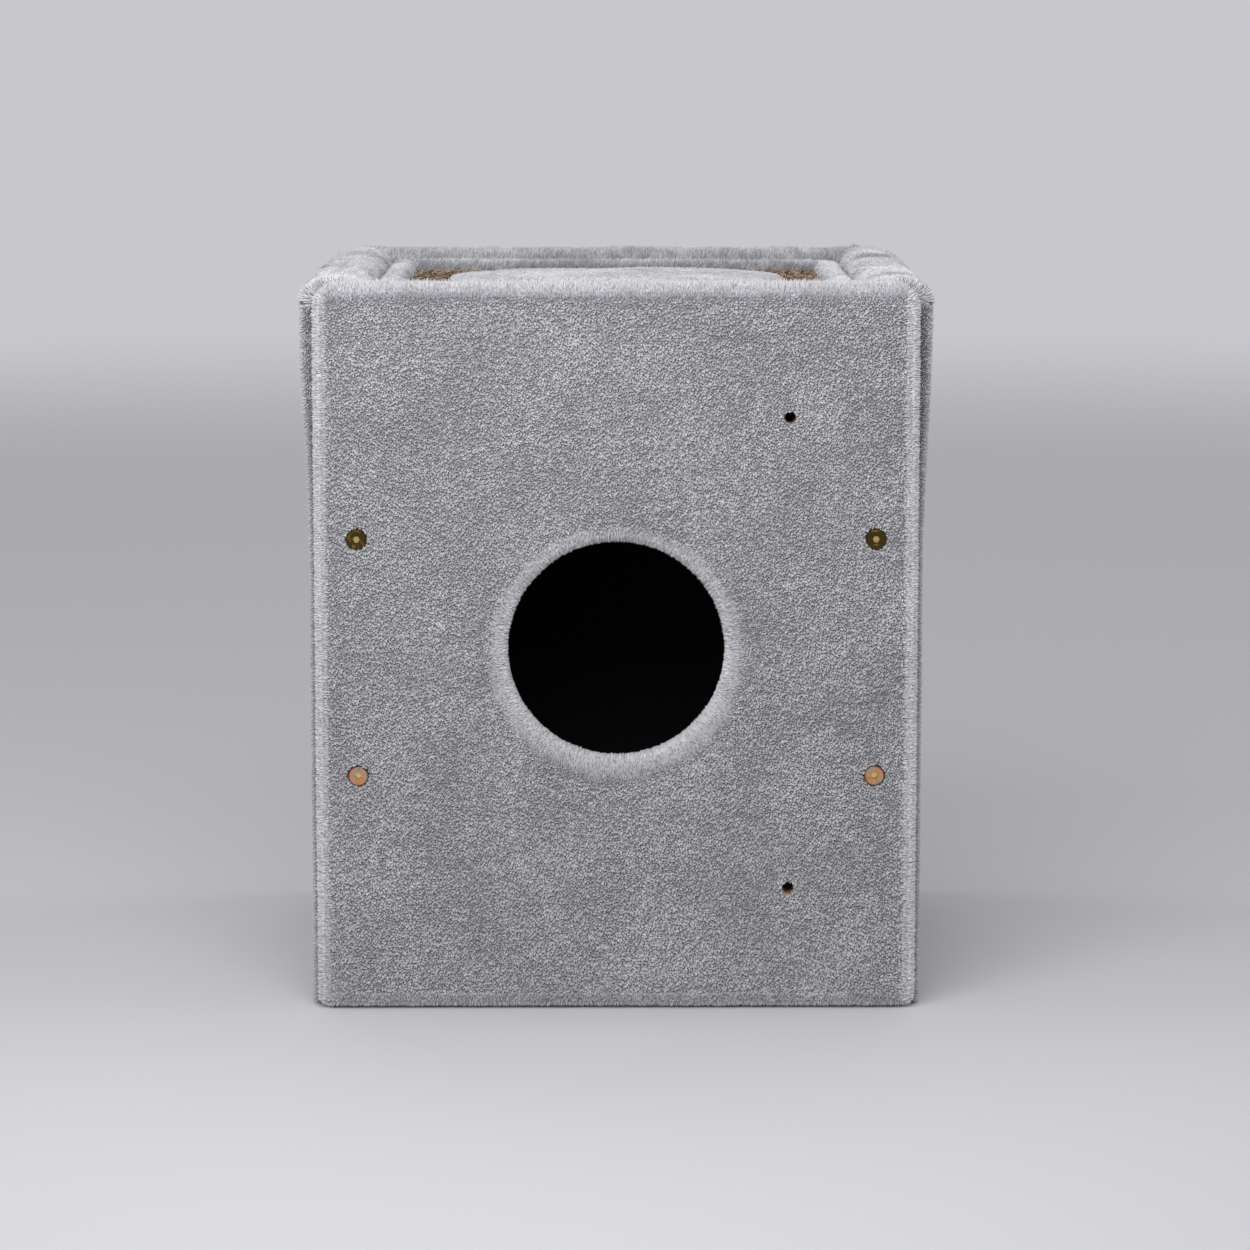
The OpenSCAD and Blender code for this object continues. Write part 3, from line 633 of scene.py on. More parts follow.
def pile_tree():
    """Tufts on a ground mesh: three-sided spikes along its normals, which lean with its nap and clump."""
    # A tuft stands for a bundle of fibres, drawn as coarse as it needs to show
    shortest, longest, own_shade, darkest, palest, map_width = 0.7, 1.2, 0.08, 0.02, 0.98, 0.012
    half = 0.5
    inputs = [("Ground", "Geometry"), ("Material", "Material"), ("Seed", "Int")]
    numbers = ["Spacing", "Length", "Width", "Lean", "Clump", "Clump size", "Sweep", "Sweep size"]
    numbers += ["Jitter", "Contrast", "Lowest"]
    inputs += [(n, "Float") for n in numbers]
    tree, start = new_tree("Plush pile", inputs, "Pile")
    spots = scatter(tree, start)
    # One tuft, with its height and side kept for the map
    wide = add(tree, "ShaderNodeMath", {1: half}, {0: start["Width"]}, operation="MULTIPLY")
    cone = add(
        tree, "GeometryNodeMeshCone", {"Vertices": 3, "Radius Top": 0.0},
        {"Radius Bottom": wide.outputs[0], "Depth": start["Length"]}, fill_type="NONE",
    ).outputs[0]
    place = add(tree, "GeometryNodeInputPosition").outputs[0]
    parts = add(tree, "ShaderNodeSeparateXYZ", links={0: place}).outputs
    high = add(tree, "ShaderNodeMath", links={0: parts["Z"], 1: start["Length"]}, operation="DIVIDE")
    side = add(tree, "ShaderNodeMath", links={0: parts["X"], 1: start["Width"]}, operation="DIVIDE")
    cone = mark_strand(tree, cone, high, side)
    # Where each tuft points
    waves, leans = [], []
    for kind in ("Clump", "Sweep"):
        size = add(tree, "ShaderNodeMath", {0: 1.0}, {1: start[f"{kind} size"]}, operation="DIVIDE")
        wave = add(
            tree, "ShaderNodeTexNoise", {"Detail": 2.0}, {"Vector": place, "Scale": size.outputs[0]}
        )
        swing = add(
            tree, "ShaderNodeVectorMath", {1: (half, half, half)}, {0: wave.outputs["Color"]},
            operation="SUBTRACT",
        )
        leaned = add(
            tree, "ShaderNodeVectorMath", None, {0: swing.outputs[0], 3: start[kind]}, operation="SCALE"
        )
        waves.append(wave.outputs[0])
        leans.append(leaned)
    loose = add(
        tree, "FunctionNodeRandomValue", {0: (-1, -1, -1), 1: (1, 1, 1)}, {8: start["Seed"]},
        data_type="FLOAT_VECTOR",
    )
    jitter = add(
        tree, "ShaderNodeVectorMath", None, {0: loose.outputs[0], 3: start["Jitter"]}, operation="SCALE"
    )
    nap = add(
        tree, "GeometryNodeInputNamedAttribute", {"Name": "nap"}, data_type="FLOAT_VECTOR"
    ).outputs[0]
    lean = add(tree, "ShaderNodeVectorMath", None, {0: nap, 3: start["Lean"]}, operation="SCALE")
    way = spots.outputs["Normal"]
    for part in (*leans, jitter, lean):
        way = add(
            tree, "ShaderNodeVectorMath", None, {0: way, 1: part.outputs[0]}, operation="ADD"
        ).outputs[0]
    turn = add(
        tree, "FunctionNodeRandomValue", {0: (0, 0, 0), 1: (0, 0, math.tau)}, {8: start["Seed"]},
        data_type="FLOAT_VECTOR",
    )
    stand = add(tree, "FunctionNodeAlignRotationToVector", None, {0: turn.outputs[0], 2: way}, axis="Z")
    sized = add(
        tree, "FunctionNodeRandomValue", {2: shortest, 3: longest}, {8: start["Seed"]}, data_type="FLOAT"
    )
    tufts = add(
        tree, "GeometryNodeInstanceOnPoints", None,
        {0: spots.outputs[0], 2: cone, 5: stand.outputs[0], 6: sized.outputs[1]},
    ).outputs[0]
    # Each tuft's shade follows the two waves, which lie round a half each, and varies a little by itself
    own = add(
        tree, "FunctionNodeRandomValue", {2: -own_shade, 3: own_shade}, {8: start["Seed"]},
        data_type="FLOAT",
    )
    # The given tone carries the painted highlights and shades that the naps set, as well as each plush's
    # own tone
    given = add(tree, "GeometryNodeInputNamedAttribute", {"Name": "tone"}, data_type="FLOAT").outputs[0]
    both = add(tree, "ShaderNodeMath", None, {0: waves[0], 1: waves[1]}, operation="ADD")
    drift = add(tree, "ShaderNodeMath", {1: 2 * half}, {0: both.outputs[0]}, operation="SUBTRACT")
    mixed = add(
        tree, "ShaderNodeMath", None, {0: drift.outputs[0], 1: start["Contrast"], 2: own.outputs[1]},
        operation="MULTIPLY_ADD",
    )
    tone = add(tree, "ShaderNodeMath", None, {0: mixed.outputs[0], 1: given}, operation="ADD")
    kept = add(tree, "ShaderNodeClamp", {1: darkest, 2: palest}, {0: tone.outputs[0]})
    close_strands(tree, start, tufts, kept.outputs[0], map_width, "Lowest")
    return tree


def loop_tree():
    """Loops of yarn on a ground mesh, each a half ring turned and tilted by chance."""
    first, sweep, tilt = math.radians(-12), math.radians(204), math.radians(38)
    smallest, largest, darkest, palest, dulling, map_width = 0.8, 1.2, 0.02, 0.98, 1.6, 0.02
    inputs = [("Ground", "Geometry"), ("Material", "Material"), ("Seed", "Int")]
    inputs += [(n, "Float") for n in ("Spacing", "Loop radius", "Yarn radius")]
    tree, start = new_tree("Mat loops", inputs, "Loops")
    spots = scatter(tree, start)
    # One loop, with its height and side kept for the map
    arc = add(
        tree, "GeometryNodeCurveArc", {"Resolution": 6, "Start Angle": first, "Sweep Angle": sweep},
        {"Radius": start["Loop radius"]},
    )
    yarn = add(
        tree, "GeometryNodeCurvePrimitiveCircle", {"Resolution": 3}, {"Radius": start["Yarn radius"]}
    )
    ring = add(tree, "GeometryNodeCurveToMesh", links={0: arc.outputs[0], 1: yarn.outputs[0]}).outputs[0]
    up = add(tree, "GeometryNodeTransform", {2: (math.pi / 2, 0, 0)}, {0: ring}).outputs[0]
    place = add(tree, "GeometryNodeInputPosition").outputs[0]
    parts = add(tree, "ShaderNodeSeparateXYZ", links={0: place}).outputs
    high = add(tree, "ShaderNodeMath", links={0: parts["Z"], 1: start["Loop radius"]}, operation="DIVIDE")
    side = add(tree, "ShaderNodeMath", links={0: parts["Y"], 1: start["Loop radius"]}, operation="DIVIDE")
    top = add(tree, "ShaderNodeClamp", {1: 0.0, 2: 1.0}, {0: high.outputs[0]})
    up = mark_strand(tree, up, top, side)
    # How each loop is turned, sized and shaded
    turn = add(
        tree, "FunctionNodeRandomValue", {0: (-tilt, -tilt, 0), 1: (tilt, tilt, math.tau)},
        {8: start["Seed"]}, data_type="FLOAT_VECTOR",
    )
    sized = add(
        tree, "FunctionNodeRandomValue", {2: smallest, 3: largest}, {8: start["Seed"]}, data_type="FLOAT"
    )
    loops = add(
        tree, "GeometryNodeInstanceOnPoints", None,
        {0: spots.outputs[0], 2: up, 5: turn.outputs[0], 6: sized.outputs[1]},
    ).outputs[0]
    own = add(
        tree, "FunctionNodeRandomValue", {2: darkest, 3: palest}, {8: start["Seed"]}, data_type="FLOAT"
    )
    dull = add(tree, "ShaderNodeMath", {1: dulling}, {0: own.outputs[1]}, operation="POWER")
    close_strands(tree, start, loops, dull.outputs[0], map_width)
    return tree


def grow(name, tree, ground, material, seed, nap=None, keep=None, **sizes):
    """Grows strands on the chosen faces of a ground mesh and returns them as an object of their own."""
    base = ground.data.copy()
    work = bmesh.new()
    work.from_mesh(base)
    bare = [
        face for face in work.faces
        if face.material_index or (keep and not keep(face.normal, face.calc_center_median()))
    ]
    bmesh.ops.delete(work, geom=bare, context="FACES")
    work.to_mesh(base)
    work.free()
    if nap:
        ways, tones = zip(*[nap(vertex.co, vertex.normal) for vertex in base.vertices])
        base.attributes.new("nap", "FLOAT_VECTOR", "POINT").data.foreach_set("vector", np.ravel(ways))
        base.attributes.new("tone", "FLOAT", "POINT").data.foreach_set("value", tones)
    holder = link(name, base)
    maker = holder.modifiers.new("Strands", "NODES")
    maker.node_group = tree
    given = {key.replace("_", " ").capitalize(): value for key, value in sizes.items()}
    given.update({"Material": material, "Seed": seed})
    for socket in tree.interface.items_tree:
        if socket.in_out == "INPUT" and socket.name in given:
            maker[socket.identifier] = given[socket.name]
    apply_modifiers(holder)
    return holder


def pile(name, ground, material, seed, nap, coat, keep=None):
    """Grows one coat of plush pile on a piece's outer faces."""
    sizes = bpy.context.scene.condo_pile
    lean, jitter, contrast = COATS[coat]
    own = {part: getattr(sizes, f"{coat}_{part}") for part in ("spacing", "length", "width")}
    return grow(
        name, bpy.data.node_groups.get("Plush pile") or pile_tree(), ground, material, seed, nap, keep,
        lean=lean, jitter=jitter, contrast=contrast, clump=sizes.clump, clump_size=sizes.clump_size,
        sweep=sizes.sweep, sweep_size=sizes.sweep_size, lowest=FLOOR_GAP, **own,
    )


def near(distance, band, hold=0.66):
    """One beside an edge, falling smoothly to nothing from a share of a band to its end."""
    left_over = max(0.0, min(1.0, (1 - distance / band) / (1 - hold)))
    return left_over * left_over * (3 - 2 * left_over)


def downwards(place, normal):
    """Nap of the side and back covers and of the front cover's hem: stroked down."""
    tone = 0.55
    return (0, 0, -1), tone


def lip_place(form, sizes, place):
    """How far a place lies from the entry's edge, the combed band's width there and its share of the lip's
    painted highlight.
    """
    above, below, spread, fall, ragged = 0.7, 1.25, 0.6, 14 * MM, 2 * MM
    x, z = place.x, place.z - ENTRY_Z
    away = math.hypot(x, z)
    low = (1 - z / away) / 2
    wide = sizes.lip_band * (above + (below - above) * low)
    beyond = away - form.entry_d / 2 + ragged * noise.noise(place / fall)
    return beyond, wide, min(1.0, 2 * low) ** spread


def front_nap(form, sizes):
    """Nap of the front cover: stroked down, and combed over its edges and into the entry hole, with painted
    light in its tone.
    """
    face_tone, band_highlight, lip_highlight, painted_crest_tone = 0.4, 0.42, 0.48, 0.3
    comb, foot, soft = 8.0, 0.5, 0.25

    def nap(place, normal):
        x, z = place.x, place.z - ENTRY_Z
        away = math.hypot(x, z)
        beyond, wide, lit = lip_place(form, sizes, place)
        lip = near(beyond, wide, soft)
        over = Vector((
            math.copysign(near(PANEL_HIGH.x - abs(x), sizes.band), x), 0,
            near(PANEL_HIGH.z - place.z, sizes.top_band, soft) - near(place.z, sizes.band * foot),
        ))
        edge = min(1.0, over.length)
        over -= Vector((lip * x / away, 0, lip * z / away))
        turned = over * -normal.y + Vector((0, over.dot(normal), 0))
        # Painted light: the combed edges and lip are painted lighter, the lip most at its bottom where
        # light falls from above, and ground that faces up is painted darker
        tone = face_tone + band_highlight * edge + lip_highlight * lip * lit - painted_crest_tone * max(0.0, normal.z)
        return turned * comb + Vector((0, 0, max(edge, lip) - 1)), tone

    return nap


def panel_outline(form, inset):
    """Points round the front panel, drawn in from its outer edge by inset: across and up."""
    corner_steps, upright_steps, level_steps = 12, 140, 112
    edge, low, high = PANEL_HIGH.x - inset, PANEL_LOW.z + inset, PANEL_HIGH.z - inset
    top, bottom = form.top_r - inset, form.bottom_r - inset
    corners = [
        (edge - bottom, low + bottom, bottom, -90), (edge - top, high - top, top, 0),
        (top - edge, high - top, top, 90), (bottom - edge, low + bottom, bottom, 180),
    ]
    arcs = []
    for x, z, r, first in corners:
        bearing = np.radians(first + np.linspace(0, 90, corner_steps))
        arcs.append(np.stack([x + r * np.cos(bearing), z + r * np.sin(bearing)], axis=1))
    runs = []
    for i, arc in enumerate(arcs):
        steps = np.linspace(0, 1, (upright_steps, level_steps)[i % 2] + 1)[1:-1, None]
        runs += [arc, arc[-1] + (arcs[(i + 1) % 4][0] - arc[-1]) * steps]
    return np.concatenate(runs)


def front_rows(form, sizes):
    """Rings of the front cover's ground: from its back edge over the face and into the entry hole."""
    joint_gap, face_steps, turn_steps, edge_steps = 0.2 * MM, 46, 6, 3
    front, joint = PANEL_LOW.y + sizes.depth, PANEL_HIGH.y - joint_gap
    hole_r, round_r = form.entry_d / 2 + sizes.depth, sizes.turn_r
    turn = np.linspace(0, math.pi / 2, turn_steps + 1)[1:]
    rings = [(panel_outline(form, sizes.depth), y) for y in np.linspace(joint, front + round_r, edge_steps)]
    for a in turn:
        outline = panel_outline(form, sizes.depth + round_r * (1 - math.cos(a)))
        rings.append((outline, front + round_r * (1 - math.sin(a))))
    outer = rings[-1][0]
    middle = np.array([0, ENTRY_Z])
    way = outer - middle
    way = way / np.linalg.norm(way, axis=1, keepdims=True)
    lip = middle + way * (hole_r + round_r)
    rings += [(outer + (lip - outer) * s, front) for s in np.linspace(0, 1, face_steps)[1:]]
    for a in turn:
        r = hole_r + round_r * (1 - math.sin(a))
        rings.append((middle + way * r, front + round_r * (1 - math.cos(a))))
    rings += [(rings[-1][0], y) for y in np.linspace(front + round_r, joint, edge_steps)[1:]]
    return np.array([[(x, y, z) for x, z in flat] for flat, y in rings])


def hem_rows(form, sizes):
    """Rows of the front cover's hem: over the board's top edge and down its back behind the mat's loops."""
    step, turn_steps, down_steps, joint_gap, turn_r, tuck = 4 * MM, 5, 6, 0.2 * MM, 1.6 * MM, 3 * MM
    reach = PANEL_HIGH.x - form.top_r
    joint, top = PANEL_HIGH.y - joint_gap, PANEL_HIGH.z - sizes.depth - turn_r
    turn = np.linspace(math.pi / 2, 0, turn_steps)
    line = [(joint + turn_r * math.cos(a), top + turn_r * math.sin(a)) for a in turn]
    line += [(joint + turn_r, z) for z in np.linspace(top, MAT_HIGH.z - tuck, down_steps)[1:]]
    xs = np.linspace(-reach, reach, int(2 * reach / step))
    return np.array([[(x, y, z) for x in xs] for y, z in line])


def cutters(form):
    """Round cutters for the bolt heads and the fixing holes, as one mesh along the depth."""
    round_steps, cut_depth = 40, 60 * MM
    head_x, half = BOLT_HIGH.x - form.head_r, FIXING["dims"]["spacing_y_mm"] * MM / 2
    middle_y = (PANEL_LOW.y + PANEL_HIGH.y) / 2
    places = [
        (side * head_x, z, form.head_r + form.head_gap)
        for side in (-1, 1) for z in (BOLT_LOW.z + form.head_r, BOLT_HIGH.z - form.head_r)
    ]
    hole_r = FIXING["dims"]["hole_r_mm"] * MM + form.hole_gap
    places += [(FIXING["pos_m"][0], FIXING["pos_m"][2] + side * half, hole_r) for side in (-1, 1)]
    work = bmesh.new()
    for x, z, r in places:
        spot = Matrix.Translation((x, middle_y, z)) @ Matrix.Rotation(math.pi / 2, 4, "X")
        bmesh.ops.create_cone(
            work, cap_ends=True, segments=round_steps, radius1=r, radius2=r, depth=cut_depth, matrix=spot
        )
    for face in work.faces:
        face.material_index = 1
    mesh = bpy.data.meshes.new("cutters")
    work.to_mesh(mesh)
    work.free()
    return mesh


def plush(scene, kind):
    """The pile of one kind of plush, and the knitted ground that it grows on."""
    colours = scene.condo_colours
    return (
        finish_of(kind, plush_pile, kind, colours, *PLUSHES[kind]),
        finish_of("Plush ground knit", plush_ground, colours),
    )


class CONDO_OT_front(bpy.types.Operator):
    """Covers the front board with plush, over its edges and into the entry hole"""

    bl_idname = "condo.front"
    bl_label = "Front cover"

    def execute(self, context):
        form, sizes = context.scene.condo_form, context.scene.condo_pile
        grey, ground = plush(context.scene, "Grey plush pile")
        silky, _ = plush(context.scene, "Silky plush pile")
        fibres = {"face": grey, "edge": silky}
        wave, wave_seed, wave_depth, first_seed = 70 * MM, 1, 0.6 * MM, 11
        rows = front_rows(form, sizes)
        rows[..., 1] -= np.maximum(ripple(rows, wave, wave_seed), 0) * wave_depth
        cover = link("front_plush", skin("front_plush", rows, ring=True), ground, ground)
        thicken(cover, sizes.skin)
        tools = link("cutters", cutters(form), ground, ground)
        cut = cover.modifiers.new("Holes", "BOOLEAN")
        cut.object, cut.solver = tools, "EXACT"
        apply_modifiers(cover)
        bpy.data.objects.remove(tools)
        combed = front_nap(form, sizes)

        def to_lip(place):
            beyond, wide, _ = lip_place(form, sizes, place)
            return beyond - wide * sizes.lip_fine

        def to_edge(place):
            beside = min(PANEL_HIGH.x - abs(place.x), place.z) - sizes.band * sizes.band_fine
            return min(beside, PANEL_HIGH.z - place.z - sizes.top_band * sizes.lip_fine)

        def on_face(place):
            return min(to_lip(place), to_edge(place)) > -sizes.overlap

        coats = (
            ("front_upper_pile", "face", lambda n, c: c.z >= ENTRY_Z and on_face(c)),
            ("front_lower_pile", "face", lambda n, c: c.z < ENTRY_Z and on_face(c)),
            ("front_edge_pile", "edge", lambda n, c: to_edge(c) < 0),
            ("entry_lip_pile", "edge", lambda n, c: to_lip(c) < 0),
        )
        furs = [
            pile(name, cover, fibres[coat], seed, combed, coat, keep)
            for seed, (name, coat, keep) in enumerate(coats, first_seed)
        ]
        hem = link("front_hem", skin("front_hem", hem_rows(form, sizes)), ground, ground)
        thicken(hem, sizes.skin)
        hem_seed = first_seed + len(coats)
        furs.append(pile("front_hem_pile", hem, silky, hem_seed, downwards, "edge"))
        for piece in (cover, hem, *furs):
            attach(piece, "condo")
        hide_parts("front_cover")
        return {"FINISHED"}


def wrap_ring(form, sizes, z):
    """Points of the wrap's ground at one height: along the left side, round the back, along the right."""
    joint_gap, board_gap, tight, toe_turn, hem_turn = 0.4 * MM, 0.1 * MM, 3.0, 3 * MM, 3 * MM
    top = WALL_HIGH.z
    up = max(0.0, (z - form.swell_start) / (top - form.swell_start))
    full = (1 - math.cos(math.pi * up)) / 2
    toe = form.toe_r - math.sqrt(max(0.0, form.toe_r ** 2 - max(0.0, form.toe_r - z) ** 2))
    reach = PLUSH_T + SWELL * full - toe
    rim_corner = form.rim_bend + form.rim_w / 2
    deep = sizes.depth + sizes.settle * full
    # No rounder than the square corner of the boards under it allows
    over = max(toe_turn, tight * (reach - deep))
    r = min(form.corner_r + (rim_corner - form.corner_r) * full - sizes.depth, over)
    half, back = SIDE_X + reach - deep, BACK_Y + reach - deep
    front = WALL_LOW.y + joint_gap
    hem_r = min(hem_turn, half - SIDE_X - joint_gap)
    left = [(x, front) for x in np.linspace(-SIDE_X - board_gap, hem_r - half, LAP_STEPS + 1)[:-1]]
    turn = np.linspace(0, math.pi / 2, TURN_STEPS)
    left += [(-half + hem_r * (1 - math.sin(a)), front + hem_r * (1 - math.cos(a))) for a in turn]
    left += [(-half, y) for y in np.linspace(front + hem_r, back - r, SIDE_STEPS + 2)[1:-1]]
    turn = np.radians(np.linspace(180, 90, CORNER_STEPS))
    left += [(-half + r + r * math.cos(a), back - r + r * math.sin(a)) for a in turn]
    middle = [(x, back) for x in np.linspace(-half + r, half - r, BACK_STEPS + 2)[1:-1]]
    return left + middle + [(-x, y) for x, y in left[::-1]]


class CONDO_OT_wrap(bpy.types.Operator):
    """Covers the sides and the back with plush that swells towards the padded rim"""

    bl_idname = "condo.wrap"
    bl_label = "Side and back covers"

    def execute(self, context):
        form, sizes = context.scene.condo_form, context.scene.condo_pile
        fibre, ground = plush(context.scene, "Grey plush pile")
        toe_steps, rise_steps, wave, wave_seed, bulge = 4, 110, 65 * MM, 2, 6 * MM
        heights = [form.toe_r * (1 - math.cos(a)) for a in np.linspace(0, math.pi / 2, toe_steps)]
        heights += list(np.linspace(form.toe_r, WALL_HIGH.z, rise_steps)[1:])
        rows = np.array([[(x, y, z) for x, y in wrap_ring(form, sizes, z)] for z in heights])
        # The padding under the plush pushes it out unevenly towards the top
        outward = rows[..., :2] / np.linalg.norm(rows[..., :2], axis=-1, keepdims=True)
        full = np.clip((rows[..., 2] - form.swell_start) / (WALL_HIGH.z - form.swell_start), 0, 1)
        uneven = ripple(rows, wave, wave_seed) * full * (1 - full) * bulge
        rows[..., :2] += outward * uneven[..., None]
        # The covers meet at seams in the middle of the back corners
        seam, count = LAP_STEPS + TURN_STEPS + SIDE_STEPS + CORNER_STEPS // 2, rows.shape[1]
        spans = {"left": (0, seam + 1), "back": (seam, count - seam), "right": (count - seam - 1, None)}
        wall_seed, hem_seed = 21, 24
        hem = WALL_LOW.y + sizes.hem
        beside = hem + sizes.overlap
        for order, (side, (first, last)) in enumerate(spans.items()):
            mesh = skin(f"{side}_plush", rows[:, first:last], flip=True)
            cover = link(f"{side}_plush", mesh, ground, ground)
            thicken(cover, sizes.skin)
            for vertex in cover.data.vertices:
                vertex.co.z = max(vertex.co.z, 0.0)
            seed, past_hem = wall_seed + order, lambda n, c: c.y > hem
            furs = [pile(f"{side}_pile", cover, fibre, seed, downwards, "wall", past_hem)]
            if side != "back":
                seed, on_hem = hem_seed + order, lambda n, c: c.y < beside
                furs.append(pile(f"{side}_hem_pile", cover, fibre, seed, downwards, "edge", on_hem))
            for piece in (cover, *furs):
                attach(piece, "condo")
            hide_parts(f"{side}_cover")
        return {"FINISHED"}


def roll_line(line_x, line_y, bend, front, end_r):
    """Centre line of a roll round three sides of the tray: each place and its outward way."""
    step, turn_steps, end_steps = 4 * MM, 12, 7
    ys = list(front + end_r * (1 - np.cos(np.linspace(0, math.pi / 2, end_steps)[:-1])))
    ys += list(np.arange(front + end_r, line_y - bend, step))
    left = [((-line_x, y), (-1, 0)) for y in ys]
    turn = np.radians(np.linspace(180, 90, turn_steps))
    for a in turn:
        u, v = math.cos(a), math.sin(a)
        left.append(((bend - line_x + bend * u, line_y - bend + bend * v), (u, v)))
    across = np.linspace(bend - line_x, line_x - bend, int(2 * (line_x - bend) / step))[1:-1]
    middle = [((x, line_y), (0, 1)) for x in across]
    return left + middle + [((-x, y), (-u, v)) for (x, y), (u, v) in left[::-1]]


def fold_depth(run, around, folds):
    """How deep the folds press a roll at a place along and round it; each runs between two such places."""
    # The padding bulges beside a fold, at so many of its widths
    bulge, beside = 0.45, 2.1
    deep = 0.0
    for start, end, depth, width in folds:
        a, b, p = Vector(start), Vector(end), Vector((run, around))
        along = max(0.0, min(1.0, (p - a).dot(b - a) / (b - a).length_squared))
        away = (p - a - (b - a) * along).length / width
        deep += depth * (math.exp(-away * away) - bulge * math.exp(-((away - beside) ** 2)))
    return deep


def roll_rows(line_x, line_y, bend, wide, high, front, end_r, folds, seed):
    """Rings of a roll's ground: a half-round section on its line, mitred in corners, round at the ends."""
    base, section_steps, fullness = RIM_LOW.z, 30, 0.84
    wave, uneven, apart = 38 * MM, 1.1 * MM, 90 * MM
    rows, run, before = [], 0.0, None
    for (x, y), (u, v) in roll_line(line_x, line_y, bend, front, end_r):
        run += math.dist((x, y), before) if before else 0.0
        before = (x, y)
        short = max(0.0, 1 - (y - front) / end_r)
        drawn = end_r * (1 - math.sqrt(1 - short * short))
        ring = []
        for bearing in np.radians(np.linspace(0, 180, section_steps)).clip(0, math.pi):
            out = math.copysign(abs(math.cos(bearing)) ** fullness, math.cos(bearing))
            up = math.sin(bearing) ** fullness
            soft = noise.noise(Vector((run, wide * bearing, seed * apart)) / wave) * uneven
            reach = soft - fold_depth(run, wide * bearing, folds) - drawn
            across = (wide - drawn + (reach + drawn) * up) * out
            place = [x + u * across, y + v * across, base + (high + reach) * up]
            if -across > bend:
                place[0] = max(-line_x - across, min(line_x + across, place[0]))
                place[1] = min(place[1], line_y + across)
            ring.append(place)
        rows.append(ring)
    return rows


def roll_nap(line_x, line_y):
    """Nap of a roll: brushed to the back, to and fro in patches along the sides, outwards over the ends."""
    # Painted light: the ends are painted light against the shade the front panel casts on them, sides and
    # back are toned apart for how each is lit, and the crests get a painted highlight
    tones, painted_crest_tone = {"side": 0.35, "back": 0.2, "end": 0.9}, 0.4
    inward, aslant, sway, backward, patch, facing = 0.3, 0.2, 1.1, 0.35, 45 * MM, -0.7

    def nap(place, normal):
        behind = line_y - place.y < line_x - abs(place.x)
        part = "back" if behind else "end" if normal.y < facing else "side"
        stroke = sway * noise.noise(place / patch) + backward
        ways = {
            "back": (aslant, 1, 0), "side": (-math.copysign(inward, place.x), stroke, 0),
            "end": (place.x - math.copysign(line_x, place.x), 0, place.z - RIM_LOW.z),
        }
        way = Vector(ways[part])
        lying = way - normal * way.dot(normal)
        return lying.normalized(), tones[part] + painted_crest_tone * max(0.0, normal.z) ** 2

    return nap


class CONDO_OT_rim(bpy.types.Operator):
    """Pads the rim and the inner roll round the tray"""

    bl_idname = "condo.rim"
    bl_label = "Padded rim"

    def execute(self, context):
        form, sizes = context.scene.condo_form, context.scene.condo_pile
        silk, ground = plush(context.scene, "Silky plush pile")
        gap, sink, hem, bare = 1.8 * MM, 2.2 * MM, 0.8 * MM, 1.5 * MM
        rim_seed, roll_seed, first_seed = 1, 2, 31
        front = RIM_LOW.y + gap
        rim_h, rim_half = RIM_HIGH.z - RIM_LOW.z, (form.rim_w - sizes.settle) / 2
        rim_x, rim_y = RIM_HIGH.x - sizes.settle - rim_half, RIM_HIGH.y - sizes.settle - rim_half
        leg = rim_y - form.rim_bend - front
        bend_run = form.rim_bend * math.pi / 2
        back_run = 2 * (rim_x - form.rim_bend)
        right = leg + 2 * bend_run + back_run
        arc = rim_half * math.pi
        # Each fold: where it starts and ends, along and round the rim, how deep and how wide it is
        folds = [
            ((45 * MM, arc * 0.78), (190 * MM, arc * 0.22), 3.6 * MM, 7 * MM),
            ((leg - 30 * MM, arc * 0.9), (leg + bend_run * 0.7, arc * 0.3), 3.0 * MM, 5 * MM),
            ((right - bend_run * 0.6, arc * 0.95), (right - bend_run * 0.2, arc * 0.3), 3.2 * MM, 5 * MM),
            ((right + 16 * MM, arc * 0.92), (right + 44 * MM, arc * 0.25), 2.6 * MM, 5 * MM),
            ((right + 62 * MM, arc * 0.85), (right + 120 * MM, arc * 0.3), 2.8 * MM, 6 * MM),
            ((right + 170 * MM, arc * 0.75), (right + 290 * MM, arc * 0.4), 2.0 * MM, 7 * MM),
        ]
        rim = link("rim_plush", skin("rim_plush", roll_rows(
            rim_x, rim_y, form.rim_bend, rim_half - hem, rim_h - sink, front, form.end_r, folds, rim_seed
        ), ring=True, caps=True), ground)
        roll_h, roll_half = ROLL_HIGH.z - ROLL_LOW.z, form.roll_w / 2
        roll_x, roll_y = ROLL_HIGH.x - roll_half, ROLL_HIGH.y - roll_half
        inner = link("inner_roll_plush", skin("inner_roll_plush", roll_rows(
            roll_x, roll_y, roll_half, roll_half - hem, roll_h - sink, front, form.end_r, [], roll_seed
        ), ring=True, caps=True), ground)
        lying = RIM_LOW.z + bare
        rolls = ((rim, "rim_pile", rim_x, rim_y), (inner, "inner_roll_pile", roll_x, roll_y))
        for seed, (piece, name, x, y) in enumerate(rolls, first_seed):
            fur = pile(name, piece, silk, seed, roll_nap(x, y), "silk", lambda n, c: c.z > lying)
            for part in (piece, fur):
                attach(part, "condo")
        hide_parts("rim_cover", "rim_foam")
        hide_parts("inner_roll")
        return {"FINISHED"}


